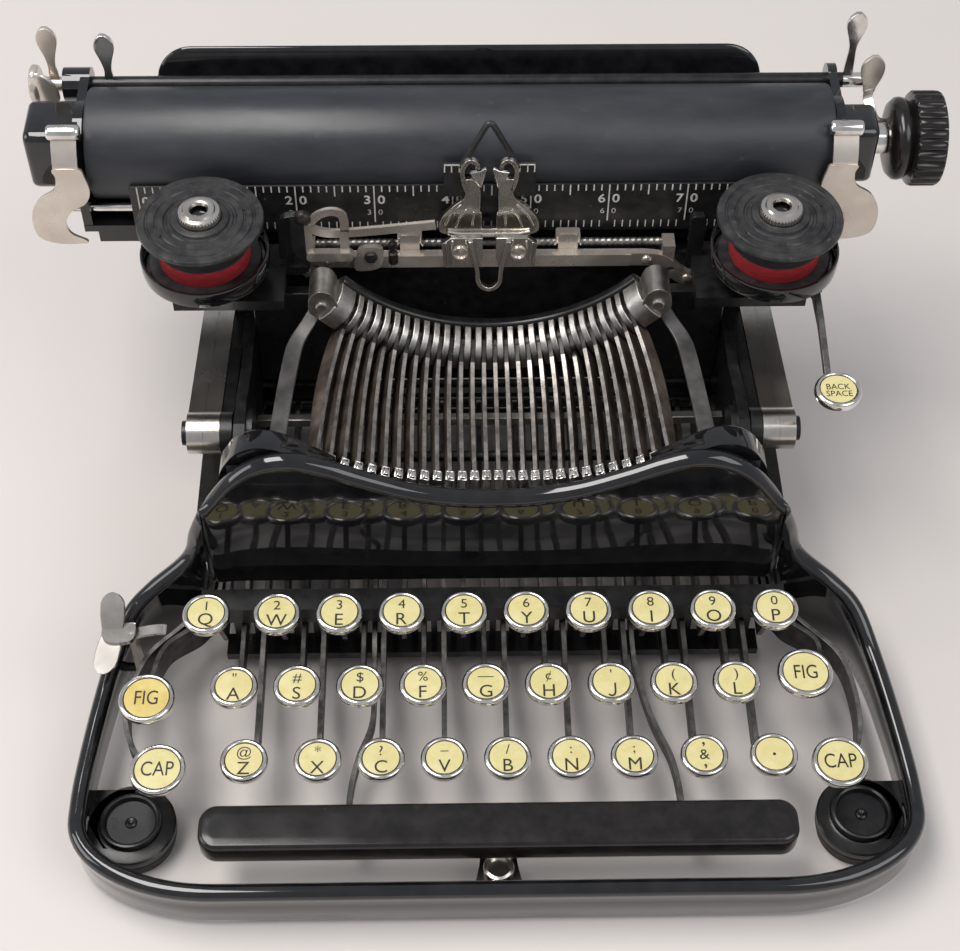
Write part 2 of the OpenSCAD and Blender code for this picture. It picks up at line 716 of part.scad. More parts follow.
// Pin of the shift lock on the inside of the left wall
module lock_pin() {
    rod(-base_half + 3, lock_x + 2, lock_y, lock_z, 3);
}

// Fold body
module arm_outline(w) {
    tilt = atan2(arm_end_z - fold_z, arm_end_y - fold_y);
    translate([fold_y, fold_z]) {
        circle(d = hub_d);
        rotate(tilt) translate([0, -w / 2]) square([norm([arm_end_y - fold_y, arm_end_z - fold_z]), w]);
    }
}

module fold_arms() {
    place() color([0.78, 0.77, 0.74]) both_sides() for (k = [0, 1]) {
        x = nickel_x + k * (arm_t + 0.1);
        difference() {
            slab(x + arm_t / 2, arm_t) arm_outline(arm_w);
            rod(x - 1, x + arm_t + 1, fold_y, fold_z, fold_pin_d + 2 * fit);
        }
    }
}

module carriage_bed() {
    place() color([0.025, 0.025, 0.028]) {
        block(-bed_half, bed_half, bed_front, bed_back, bed_z, bed_top);
        block(-bed_half, bed_half, bed_front, bed_front + 1.2, bed_z, bracket_z);
        block(-apron_half, apron_half, bed_front, bed_front + 1.2, bed_z - apron_h, bed_z + 1);
        both_sides() {
            difference() {
                slab(black_arm_x + black_arm_t / 2, black_arm_t) {
                    arm_outline(arm_w - 1);
                    polygon([[arm_end_y - 24, arm_end_z], [arm_end_y, arm_end_z - 4],
                        [arm_end_y + 6, bed_z + 1], [bed_front, bed_z + 1]]);
                }
                rod(black_arm_x - 1, nickel_x, fold_y, fold_z, fold_pin_d + 2 * fit);
            }
            block(bracket_x, spool_x + 11, spool_y - 9.5, bed_front + 1.2, bracket_z, bracket_z + bracket_t);
            block(bracket_x, bracket_x + 5, bed_front, bed_front + 1.2, bed_z, bracket_z + 1);
            translate([spool_x, spool_y, bracket_z]) cylinder(h = cup_z - bracket_z, d = 9);
            translate([lift_pin_x, (rail_y[0] + rail_y[1]) / 2, bed_top])
                cylinder(h = rail_bottom + rail_h - bed_top, d = lift_pin_d);
        }
        rod(spool_x + 11, spool_x + 15.6, spool_y - 7, bracket_z + 6.5, 4);
        block(spool_x + 7, spool_x + 11, spool_y - 9.5, spool_y - 3, bracket_z, bracket_z + 9);
    }
}

// Nickel strip along the front of the bed, with the margin rack on it
module front_rail() {
    place() color([0.78, 0.77, 0.74]) {
        block(-62, 62, bed_front - 3, bed_front, bracket_z - 3, bracket_z + 2);
        translate([0, bed_front, 0]) rotate([90, 0, 0]) linear_extrude(3) {
            polygon([[44, bracket_z + 2], [62, bracket_z + 2], [62, bracket_z - 9], [56, bracket_z - 9],
                [51, bracket_z - 5], [46, bracket_z - 3]]);
            polygon([[-62, bracket_z + 2], [-46, bracket_z + 2], [-46, bracket_z - 3], [-54, bracket_z - 8],
                [-62, bracket_z - 8]]);
        }
        rod(-60, 60, rack_y, rack_z, rack_d);
        both_sides() block(57, 61, bed_front - 3, rack_y + 1, bracket_z + 1, rack_z + 2.5);
        block(-60, -40, bed_front - 6, bed_front - 3, bracket_z - 3, bracket_z - 1.4);
        block(-60, -56, bed_front - 6, bed_front - 3, bracket_z - 3, bracket_z + 6);
    }
}

module ribbon_cups() {
    place() color([0.03, 0.03, 0.03]) both_sides() translate([spool_x, spool_y, cup_z]) {
        difference() {
            cylinder(h = cup_h, r = cup_r);
            translate([0, 0, cup_t]) cylinder(h = cup_h, r = cup_r - 1.3);
        }
        cylinder(h = spool_z - cup_z + 2, d = spindle_d);
    }
}

module spool(x) {
    floor_z = cup_z + cup_t + slip;
    difference() {
        union() {
            color([0.08, 0.08, 0.09]) translate([x, spool_y, floor_z]) cylinder(h = 1.4, d = spool_d);
            color([0.5, 0.06, 0.07]) translate([x, spool_y, floor_z])
                cylinder(h = spool_z - floor_z, d = ribbon_d);
            color([0.08, 0.08, 0.09]) translate([x, spool_y, spool_z - 1.6]) difference() {
                cylinder(h = 1.6, d = spool_top_d);
                translate([0, 0, 1.1]) difference() {
                    cylinder(h = 1, d = spool_top_d - 6);
                    translate([0, 0, -1]) cylinder(h = 3, d = spool_top_d - 9);
                }
            }
            color([0.78, 0.77, 0.74]) translate([x, spool_y, spool_z]) cylinder(h = 4.4, d = 13.6);
        }
        translate([x, spool_y, cup_z]) cylinder(h = spool_z, d = spindle_d + 2 * fit);
    }
}

module spool_left() {
    place() spool(-spool_x);
}

module spool_right() {
    place() spool(spool_x);
}

// Fork that lifts the ribbon in front of the platen, running in front of the scale's posts
vibrator_t = 1.8;
vibrator_y = post_y - 0.4 - vibrator_t;
vibrator_half = [[14, 3], [14, 11], [11, 14], [9.5, 20], [11.5, 25], [10, 29], [6.2, 27], [5.2, 21],
    [6.5, 16], [4.6, 12], [4.6, 7]];
module ribbon_vibrator() {
    place() color([0.78, 0.77, 0.74]) translate([0, vibrator_y + vibrator_t, rack_z]) rotate([90, 0, 0])
        linear_extrude(vibrator_t) polygon(concat(vibrator_half,
            [for (i = [len(vibrator_half) - 1:-1:0]) [-vibrator_half[i][0], vibrator_half[i][1]]]));
}

// Card holder at the printing point with its V shaped top, clear of the paper fingers at the ends of their travel
holder_half = 13;
module aligning_scale() {
    place() color([0.03, 0.03, 0.03]) translate([0, post_y + post_t, 0]) rotate([90, 0, 0])
        linear_extrude(post_t) both_sides() {
            translate([5, bed_top]) square([4, platen_z - bed_top + 2]);
            translate([5, platen_z - 2]) square([holder_half - 5, 7]);
            polygon([[holder_half - 3, platen_z + 5], [holder_half, platen_z + 5], [2.2, platen_z + 19.5],
                [0, platen_z + 19.5], [0, platen_z + 16.6], [1.4, platen_z + 16.6]]);
        }
}

back_x = spool_x + 13.4;
back_key = [back_x + 1.8, 132.3, 92];
module backspace_key() {
    pivot = [spool_y - 7, bracket_z + 6.5];
    place() {
        color([0.3, 0.3, 0.3]) difference() {
            slab(back_x, 2) {
                translate(pivot) circle(d = 8);
                polygon([[pivot[0], pivot[1] + 2.5], [back_key[1] - 2, back_key[2] - key_h + 0.5],
                    [back_key[1] - 2, back_key[2] - key_h - 3], [pivot[0], pivot[1] - 2.5]]);
            }
            rod(back_x - 2, back_x + 2, pivot[0], pivot[1], 4 + 2 * fit);
        }
        color([0.86, 0.82, 0.5]) key_top(back_key[0], back_key[1], back_key[2], key_d);
    }
}

// Rails that lift with the shift, each tie sliding on a pin of the bed
module carriage_rail() {
    middle = (rail_y[0] + rail_y[1]) / 2;
    place() color([0.55, 0.55, 0.56]) difference() {
        union() {
            for (y = rail_y) block(-rail_half, rail_half, y - rail_w / 2, y + rail_w / 2,
                rail_bottom, rail_bottom + rail_h);
            both_sides() block(lift_pin_x - 7, lift_pin_x + 7, rail_y[0] - rail_w / 2, rail_y[1] + rail_w / 2,
                rail_bottom - tie_t, rail_bottom + 1);
        }
        both_sides() translate([lift_pin_x, middle, bed_z]) cylinder(h = 40, d = lift_pin_d + 2 * fit);
    }
}

// Carriage: channel on the rails, end plates with the platen's bearings, covers
module carriage_frame() {
    lip_low = rail_bottom + 2;
    place() color([0.025, 0.025, 0.028]) {
        difference() {
            union() {
                block(carriage_left - end_gap - end_t, carriage_right + end_gap + end_t,
                    scale_y + scale_t, rail_y[1] + 6, channel_z, channel_z + channel_t);
                for (y = rail_y) for (s = [-1, 1]) {
                    y0 = y + s * (rail_w / 2 + slip + 1.25);
                    block(carriage_left, carriage_right, y0 - 1.25, y0 + 1.25, lip_low, channel_z + 1);
                }
                end_plate(carriage_left - end_gap - end_t / 2);
                end_plate(carriage_right + end_gap + end_t / 2);
                rod(boss_end, carriage_left - end_gap, pivot_y, pivot_z, release_d + 6);
                block(carriage_left - 18, carriage_left - end_gap - end_t + 1, platen_y - 11, platen_y + 6,
                    platen_z - 8, platen_z + 12);
                block(carriage_right + end_gap, carriage_right + 13, platen_y - 11, platen_y + 2,
                    platen_z - 8, platen_z + 12);
                for (x = [carriage_x - table_l / 3, carriage_x + table_l / 3]) slab(x, 12)
                    polygon([[rail_y[1] + 5, channel_z], [table_y - fit, channel_z],
                        [table_y - fit + channel_t * tan(table_lean), channel_z + channel_t],
                        [rail_y[1] + 5, channel_z + channel_t]]);
            }
            rod(carriage_left - 30, carriage_right + 40, platen_y, platen_z, axle_d + 2 * fit);
            rod(carriage_left - 30, carriage_right + 40, pivot_y, pivot_z, release_d + 2 * fit);
            rod(carriage_left - 30, carriage_right + 40, finger_shaft_y, finger_z, finger_shaft_d + 2 * fit);
        }
    }
}

module end_plate(x) {
    slab(x, end_t) {
        translate([platen_y, platen_z]) circle(d = platen_d * 0.8);
        polygon([[rail_y[0] - 6, channel_z], [rail_y[0] - 6, finger_z + 4], [platen_y - 14, platen_z],
            [platen_y + 14, platen_z], [rail_y[1] + 6, channel_z]]);
        translate([pivot_y, pivot_z]) circle(d = release_d + 6);
        polygon([[platen_y + 2, platen_z + 13], [pivot_y - 1, pivot_z + 5], [pivot_y + 2, pivot_z - 5],
            [platen_y + 12, platen_z - 7]]);
    }
}

// S shaped plates on one shaft, each bent back at the top to a small roller on the platen
finger_x = [carriage_left - 10, carriage_right + 7];
finger_bend = finger_z + 20;
roller_d = 5;
roller_angle = 50;
roller_reach = platen_d / 2 + roller_d / 2 + slip;
finger_outline = [[-9, -8], [-3, -11.5], [6, -11.5], [7, -10], [2, -7], [1, -2], [4, 3], [9, 6], [11, 11],
    [10, 18], [8.5, 20.5], [0.5, 20.5], [1, 18], [0, 12], [-6, 8], [-9.5, 1]];
module finger(x, s) {
    translate([x, finger_y + finger_t, finger_z]) rotate([90, 0, 0]) linear_extrude(finger_t)
        polygon([for (p = finger_outline) [s * p[0], p[1]]]);
    translate([x + s * 4.5, finger_y, finger_bend]) rotate([-38, 0, 0]) block(-4, 4, 0, finger_t, 0, 11);
    rod(x + s * 4.5 - 6, x + s * 4.5 + 6, platen_y - roller_reach * cos(roller_angle),
        platen_z + roller_reach * sin(roller_angle), roller_d);
    block(x - 3, x + 1, finger_y + finger_t / 2, finger_shaft_y, finger_z - 2, finger_z + 2);
}

module paper_fingers() {
    place() color([0.8, 0.79, 0.76]) {
        finger(finger_x[0], 1);
        finger(finger_x[1], -1);
        rod(finger_x[0] - 3, finger_x[1] + 1, finger_shaft_y, finger_z, finger_shaft_d);
    }
}

module paper_table() {
    place() color([0.02, 0.02, 0.022]) translate([carriage_x, table_y, table_z]) rotate([-table_lean, 0, 0])
        translate([0, table_t, table_h / 2]) rotate([90, 0, 0]) linear_extrude(table_t) {
            rounded(table_l, table_h, 12);
            translate([-table_l / 2 + 20, -table_h / 2]) square([table_l - 40, 12]);
        }
}

module paper_scale() {
    place() color([0.05, 0.05, 0.05]) block(carriage_x - scale_l / 2, carriage_x + scale_l / 2,
        scale_y, scale_y + scale_t, channel_z, scale_z + scale_h);
}

module platen() {
    place() {
        color([0.13, 0.13, 0.14]) rod(carriage_left, carriage_right, platen_y, platen_z, platen_d);
        color([0.6, 0.6, 0.6])
            rod(carriage_left - 16, carriage_right + knob_gap + 2, platen_y, platen_z, axle_d);
    }
}

module platen_knob() {
    x = carriage_right + knob_gap;
    place() color([0.03, 0.03, 0.03]) difference() {
        union() {
            rod(x, x + knob_l, platen_y, platen_z, knob_d);
            rod(x - 6, x, platen_y, platen_z, knob_d * 0.7);
        }
        rod(x - 7, x + 2, platen_y, platen_z, axle_d);
    }
}

// Leaf shaped tab on a stem that stands on the release shaft
module leaf_tab(x, stem, w, l) {
    block(x - 1.8, x + 1.8, pivot_y - 0.8, pivot_y + 0.8, pivot_z, pivot_z + stem + 1);
    translate([x, pivot_y + 0.8, pivot_z + stem]) rotate([90, 0, 0]) linear_extrude(1.6) polygon(leaf(w, l));
}

module line_space_lever() {
    place() color([0.8, 0.79, 0.76]) {
        rod(machine_left, machine_left + 3, pivot_y, pivot_z, 13);
        rod(machine_left + 2, boss_end + 5, pivot_y, pivot_z, release_d);
        leaf_tab(carriage_left - 13, 8, 6.5, 15);
    }
}

module paper_release() {
    place() color([0.8, 0.79, 0.76]) {
        rod(boss_end + 5 + slip, carriage_right + 14, pivot_y, pivot_z, release_d);
        leaf_tab(carriage_left + 5, 6, 6.5, 14);
        leaf_tab(carriage_right + 8, 13, 6.5, 14);
    }
}

module margin_stop(x) {
    place() color([0.78, 0.77, 0.74]) difference() {
        block(x - 4, x + 4, rack_y - 2.6, rack_y + 2.6, rack_z - 2.4, rack_z + 4);
        rod(x - 5, x + 5, rack_y, rack_z, rack_d + 2 * fit);
    }
}

margin_x = 26;
module margin_stop_left() {
    margin_stop(-margin_x);
}

module margin_stop_right() {
    margin_stop(margin_x);
}

base_frame();
front_shield();
rubber_feet();
mechanism_frame();
lever_comb();
segment();
typebars();
for (i = [0:key_count - 1]) key(i);
typebar_g();
space_bar();
shift_cap();
shift_fig();
shift_lock();
fold_arms();
carriage_bed();
front_rail();
ribbon_cups();
spool_left();
spool_right();
ribbon_vibrator();
aligning_scale();
backspace_key();
carriage_rail();
carriage_frame();
paper_table();
paper_scale();
platen();
platen_knob();
paper_fingers();
line_space_lever();
paper_release();
margin_stop_left();
margin_stop_right();
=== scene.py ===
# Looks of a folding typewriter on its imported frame.
# Shapes are drawn in millimetres: x to the typist's right, y back from the front edge, z up from the table.
import math
import bpy
import bmesh
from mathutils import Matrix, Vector
from mathutils.geometry import tessellate_polygon


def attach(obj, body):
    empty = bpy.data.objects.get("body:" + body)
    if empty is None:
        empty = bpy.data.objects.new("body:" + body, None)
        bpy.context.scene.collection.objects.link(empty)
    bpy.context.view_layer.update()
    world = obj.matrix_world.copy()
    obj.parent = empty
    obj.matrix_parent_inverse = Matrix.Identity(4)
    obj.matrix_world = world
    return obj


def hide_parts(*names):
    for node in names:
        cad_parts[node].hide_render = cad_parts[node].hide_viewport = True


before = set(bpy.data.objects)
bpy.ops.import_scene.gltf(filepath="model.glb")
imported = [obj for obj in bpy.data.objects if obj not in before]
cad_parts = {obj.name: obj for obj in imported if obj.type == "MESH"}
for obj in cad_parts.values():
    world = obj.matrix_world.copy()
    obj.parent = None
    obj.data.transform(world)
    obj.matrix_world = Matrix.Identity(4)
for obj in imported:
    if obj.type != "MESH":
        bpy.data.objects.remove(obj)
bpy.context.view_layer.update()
scene = bpy.context.scene
# Middle of the part in the drawing, which the frame has at its origin
MID_X, MID_Y = -1.0, 127.99587471
# Edges sharper than this angle, in degrees, are kept sharp or bevelled
SHARP = 38


def at(x, y, z):
    return ((x - MID_X) / 1000, (y - MID_Y) / 1000, z / 1000)


# Materials
NOISE_ROUGH = 0.58
RELIEF_DEPTH = 0.0004


def surface(name, dark, light, rough, metallic=0.0, grain=300.0, stretch=(1, 1, 1), blend=(0.35, 0.68),
            bump=(900.0, 0.08), fleck=None, coat=0.0, coat_rough=0.06, specular=0.5):
    """Colour between dark and light by noise, rough noise, fine bump; fleck = (colour, scale, from, to)."""
    m = bpy.data.materials.new(name)
    m.use_nodes = True
    tree = m.node_tree
    shader = tree.nodes["Principled BSDF"]
    coord = tree.nodes.new("ShaderNodeTexCoord")
    mapping = tree.nodes.new("ShaderNodeMapping")
    mapping.inputs["Scale"].default_value = stretch
    tree.links.new(coord.outputs["Object"], mapping.inputs["Vector"])

    def noise(scale, detail=5.0, source=mapping.outputs["Vector"]):
        n = tree.nodes.new("ShaderNodeTexNoise")
        n.inputs["Scale"].default_value = scale
        n.inputs["Detail"].default_value = detail
        n.inputs["Roughness"].default_value = NOISE_ROUGH
        tree.links.new(source, n.inputs["Vector"])
        return n.outputs["Fac"]

    def ramp(source, lo, hi, a, b):
        r = tree.nodes.new("ShaderNodeValToRGB")
        r.color_ramp.elements[0].position = lo
        r.color_ramp.elements[1].position = hi
        r.color_ramp.elements[0].color = (*a, 1)
        r.color_ramp.elements[1].color = (*b, 1)
        tree.links.new(source, r.inputs["Fac"])
        return r.outputs["Color"]

    colour = ramp(noise(grain), blend[0], blend[1], dark, light)
    if fleck:
        part = ramp(noise(fleck[1], 4.0, coord.outputs["Object"]), fleck[2], fleck[3], (0, 0, 0), (1, 1, 1))
        mix = tree.nodes.new("ShaderNodeMix")
        mix.data_type = "RGBA"
        tree.links.new(part, mix.inputs["Factor"])
        tree.links.new(colour, mix.inputs["A"])
        mix.inputs["B"].default_value = (*fleck[0], 1)
        colour = mix.outputs["Result"]
    tree.links.new(colour, shader.inputs["Base Color"])
    span = tree.nodes.new("ShaderNodeMapRange")
    span.inputs["From Min"].default_value = 0.3
    span.inputs["From Max"].default_value = 0.7
    span.inputs["To Min"].default_value = rough[0]
    span.inputs["To Max"].default_value = rough[1]
    tree.links.new(noise(grain * 0.37, 6.0), span.inputs["Value"])
    tree.links.new(span.outputs["Result"], shader.inputs["Roughness"])
    relief = tree.nodes.new("ShaderNodeBump")
    relief.inputs["Strength"].default_value = bump[1]
    relief.inputs["Distance"].default_value = RELIEF_DEPTH
    tree.links.new(noise(bump[0], 3.0), relief.inputs["Height"])
    tree.links.new(relief.outputs["Normal"], shader.inputs["Normal"])
    shader.inputs["Metallic"].default_value = metallic
    shader.inputs["Coat Weight"].default_value = coat
    shader.inputs["Coat Roughness"].default_value = coat_rough
    shader.inputs["Specular IOR Level"].default_value = specular
    return m


ENAMEL = surface("enamel", (0.004, 0.004, 0.005), (0.011, 0.011, 0.012), (0.04, 0.10), grain=160,
                 bump=(420, 0.006), fleck=((0.04, 0.037, 0.034), 1300, 0.71, 0.78), coat=0.6, coat_rough=0.02,
                 specular=0.4)
PAINT = surface("worn_black_paint", (0.004, 0.004, 0.005), (0.014, 0.0135, 0.013), (0.22, 0.42), grain=240,
                bump=(1100, 0.06), fleck=((0.05, 0.044, 0.037), 620, 0.68, 0.78), coat=0.2, coat_rough=0.2,
                specular=0.35)
NICKEL = surface("nickel", (0.52, 0.48, 0.43), (0.76, 0.73, 0.68), (0.16, 0.30), 1.0, grain=60,
                 bump=(1600, 0.02), fleck=((0.26, 0.21, 0.17), 420, 0.66, 0.84))
CHROME = surface("bright_nickel", (0.66, 0.63, 0.59), (0.88, 0.86, 0.82), (0.08, 0.20), 1.0, grain=220,
                 bump=(1500, 0.03), fleck=((0.35, 0.29, 0.23), 700, 0.66, 0.82))
PALE = surface("pale_nickel", (0.62, 0.55, 0.48), (0.74, 0.68, 0.605), (0.22, 0.30), 0.8, grain=90,
               bump=(1700, 0.012), fleck=((0.46, 0.37, 0.29), 620, 0.72, 0.84))
DULL = surface("dull_nickel", (0.31, 0.295, 0.275), (0.55, 0.53, 0.50), (0.30, 0.46), 1.0, grain=260,
               bump=(2200, 0.12), fleck=((0.20, 0.17, 0.14), 520, 0.60, 0.78))
LEVER = surface("lever_steel", (0.018, 0.017, 0.016), (0.075, 0.070, 0.066), (0.32, 0.52), 0.75, grain=210,
                bump=(1800, 0.12), fleck=((0.20, 0.13, 0.08), 540, 0.66, 0.80))
# Lighter steel: a painted highlight on the edges of the key levers and on the tops of the bent levers, and
# the margin rack's own colour
STEEL_AND_EDGE_HIGHLIGHT = surface("steel_and_edge_highlight", (0.10, 0.095, 0.09), (0.26, 0.25, 0.235), (0.30, 0.48), 0.9, grain=240,
                     bump=(1800, 0.10))
TYPE_SIDE = surface("typebar_side", (0.075, 0.055, 0.042), (0.24, 0.19, 0.155), (0.38, 0.58), 0.7, grain=150,
                    bump=(1500, 0.12), fleck=((0.30, 0.25, 0.20), 420, 0.62, 0.78))
# Lighter steel on the upper faces of the typebars: a painted highlight
TYPE_TOP_HIGHLIGHT = surface("typebar_top_highlight", (0.26, 0.235, 0.21), (0.60, 0.56, 0.52), (0.26, 0.44), 1.0, grain=260,
                    bump=(1800, 0.10))
STRAP = surface("blued_strap", (0.075, 0.072, 0.070), (0.19, 0.182, 0.178), (0.26, 0.44), 0.6, grain=110,
                bump=(1500, 0.08), fleck=((0.20, 0.15, 0.11), 480, 0.66, 0.80))
CREAM = surface("key_disc", (0.585, 0.515, 0.225), (0.655, 0.59, 0.305), (0.22, 0.36), grain=170,
                bump=(900, 0.03), fleck=((0.52, 0.41, 0.16), 330, 0.62, 0.84), coat=0.2)
AMBER = surface("key_disc_aged", (0.55, 0.41, 0.11), (0.65, 0.53, 0.19), (0.22, 0.36), grain=170,
                bump=(900, 0.03), fleck=((0.55, 0.34, 0.10), 330, 0.60, 0.84), coat=0.2)
# Black of the printed legends; also used for painted shade, in the dark ovals on the spool flanges and the
# dark band at the edge of each key disc
INK_AND_SHADE = surface("ink_and_painted_shade", (0.008, 0.008, 0.008), (0.020, 0.018, 0.016), (0.35, 0.55), grain=400, bump=(1500, 0.05))
WHITE = surface("white_marking", (0.52, 0.50, 0.46), (0.74, 0.72, 0.68), (0.45, 0.6), grain=500,
                bump=(1500, 0.05))
RUBBER = surface("platen_rubber", (0.013, 0.0145, 0.018), (0.030, 0.032, 0.038), (0.34, 0.50), grain=90,
                 stretch=(0.35, 1, 1), bump=(700, 0.10), fleck=((0.062, 0.060, 0.058), 260, 0.66, 0.84))
FOOT = surface("foot_rubber", (0.010, 0.010, 0.010), (0.030, 0.029, 0.028), (0.55, 0.8), grain=300,
               bump=(900, 0.2), fleck=((0.07, 0.065, 0.06), 700, 0.64, 0.76))
PLASTIC = surface("knob_plastic", (0.005, 0.004, 0.004), (0.014, 0.011, 0.010), (0.13, 0.26), grain=220,
                  bump=(1200, 0.04), fleck=((0.05, 0.038, 0.03), 620, 0.70, 0.80))
SPOOL = surface("spool_black", (0.022, 0.022, 0.024), (0.060, 0.059, 0.058), (0.28, 0.46), 0.4, grain=210,
                bump=(1300, 0.10), fleck=((0.13, 0.11, 0.09), 560, 0.64, 0.76))
RED = surface("ribbon_red", (0.22, 0.006, 0.010), (0.50, 0.022, 0.030), (0.65, 0.85), grain=260,
              stretch=(1, 1, 14), bump=(1500, 0.5))
DARK_RIBBON = surface("ribbon_black", (0.006, 0.006, 0.007), (0.020, 0.019, 0.020), (0.60, 0.8), grain=260,
                      stretch=(1, 1, 14), bump=(1500, 0.5))
SCALE = surface("scale_black", (0.008, 0.008, 0.008), (0.022, 0.021, 0.021), (0.24, 0.40), grain=220,
                bump=(1200, 0.05), fleck=((0.10, 0.085, 0.07), 800, 0.66, 0.76), coat=0.2, coat_rough=0.2)


# Mesh building

def lerp(a, b, t):
    return a + (b - a) * t


def curve(points, n, closed=False):
    """Catmull-Rom curve through points, n steps between neighbours."""
    out = []
    count = len(points)
    last = count - 1
    for i in range(count if closed else last):
        near = [i - 1, i, i + 1, i + 2]
        a, b, c, d = [points[k % count if closed else min(max(k, 0), last)] for k in near]
        for k in range(n):
            t = k / n
            out.append(tuple(0.5 * (2 * q + (r - p) * t + (2 * p - 5 * q + 4 * r - s) * t * t
                                    + (3 * q - p - 3 * r + s) * t * t * t) for p, q, r, s in zip(a, b, c, d)))
    return out if closed else out + [tuple(points[last])]


def heading(path, i):
    """Direction of a path at its point i."""
    return Vector(path[min(i + 1, len(path) - 1)]) - Vector(path[max(i - 1, 0)])


def ribbon(path, half):
    """Outline of a flat strip that follows a path in its plane."""
    left, right = [], []
    for i, p in enumerate(path):
        d = heading(path, i)
        s = Vector((-d[1], d[0])).normalized() * half
        left.append((p[0] + s[0], p[1] + s[1]))
        right.append((p[0] - s[0], p[1] - s[1]))
    return left + right[::-1]


def along(points, y):
    """Height at y on a polyline of (y, z) that runs from the back to the front."""
    for (y0, z0), (y1, z1) in zip(points, points[1:]):
        if y >= y1:
            return lerp(z0, z1, min(max((y0 - y) / (y0 - y1), 0), 1)) if y0 > y1 else z1
    return points[-1][1]


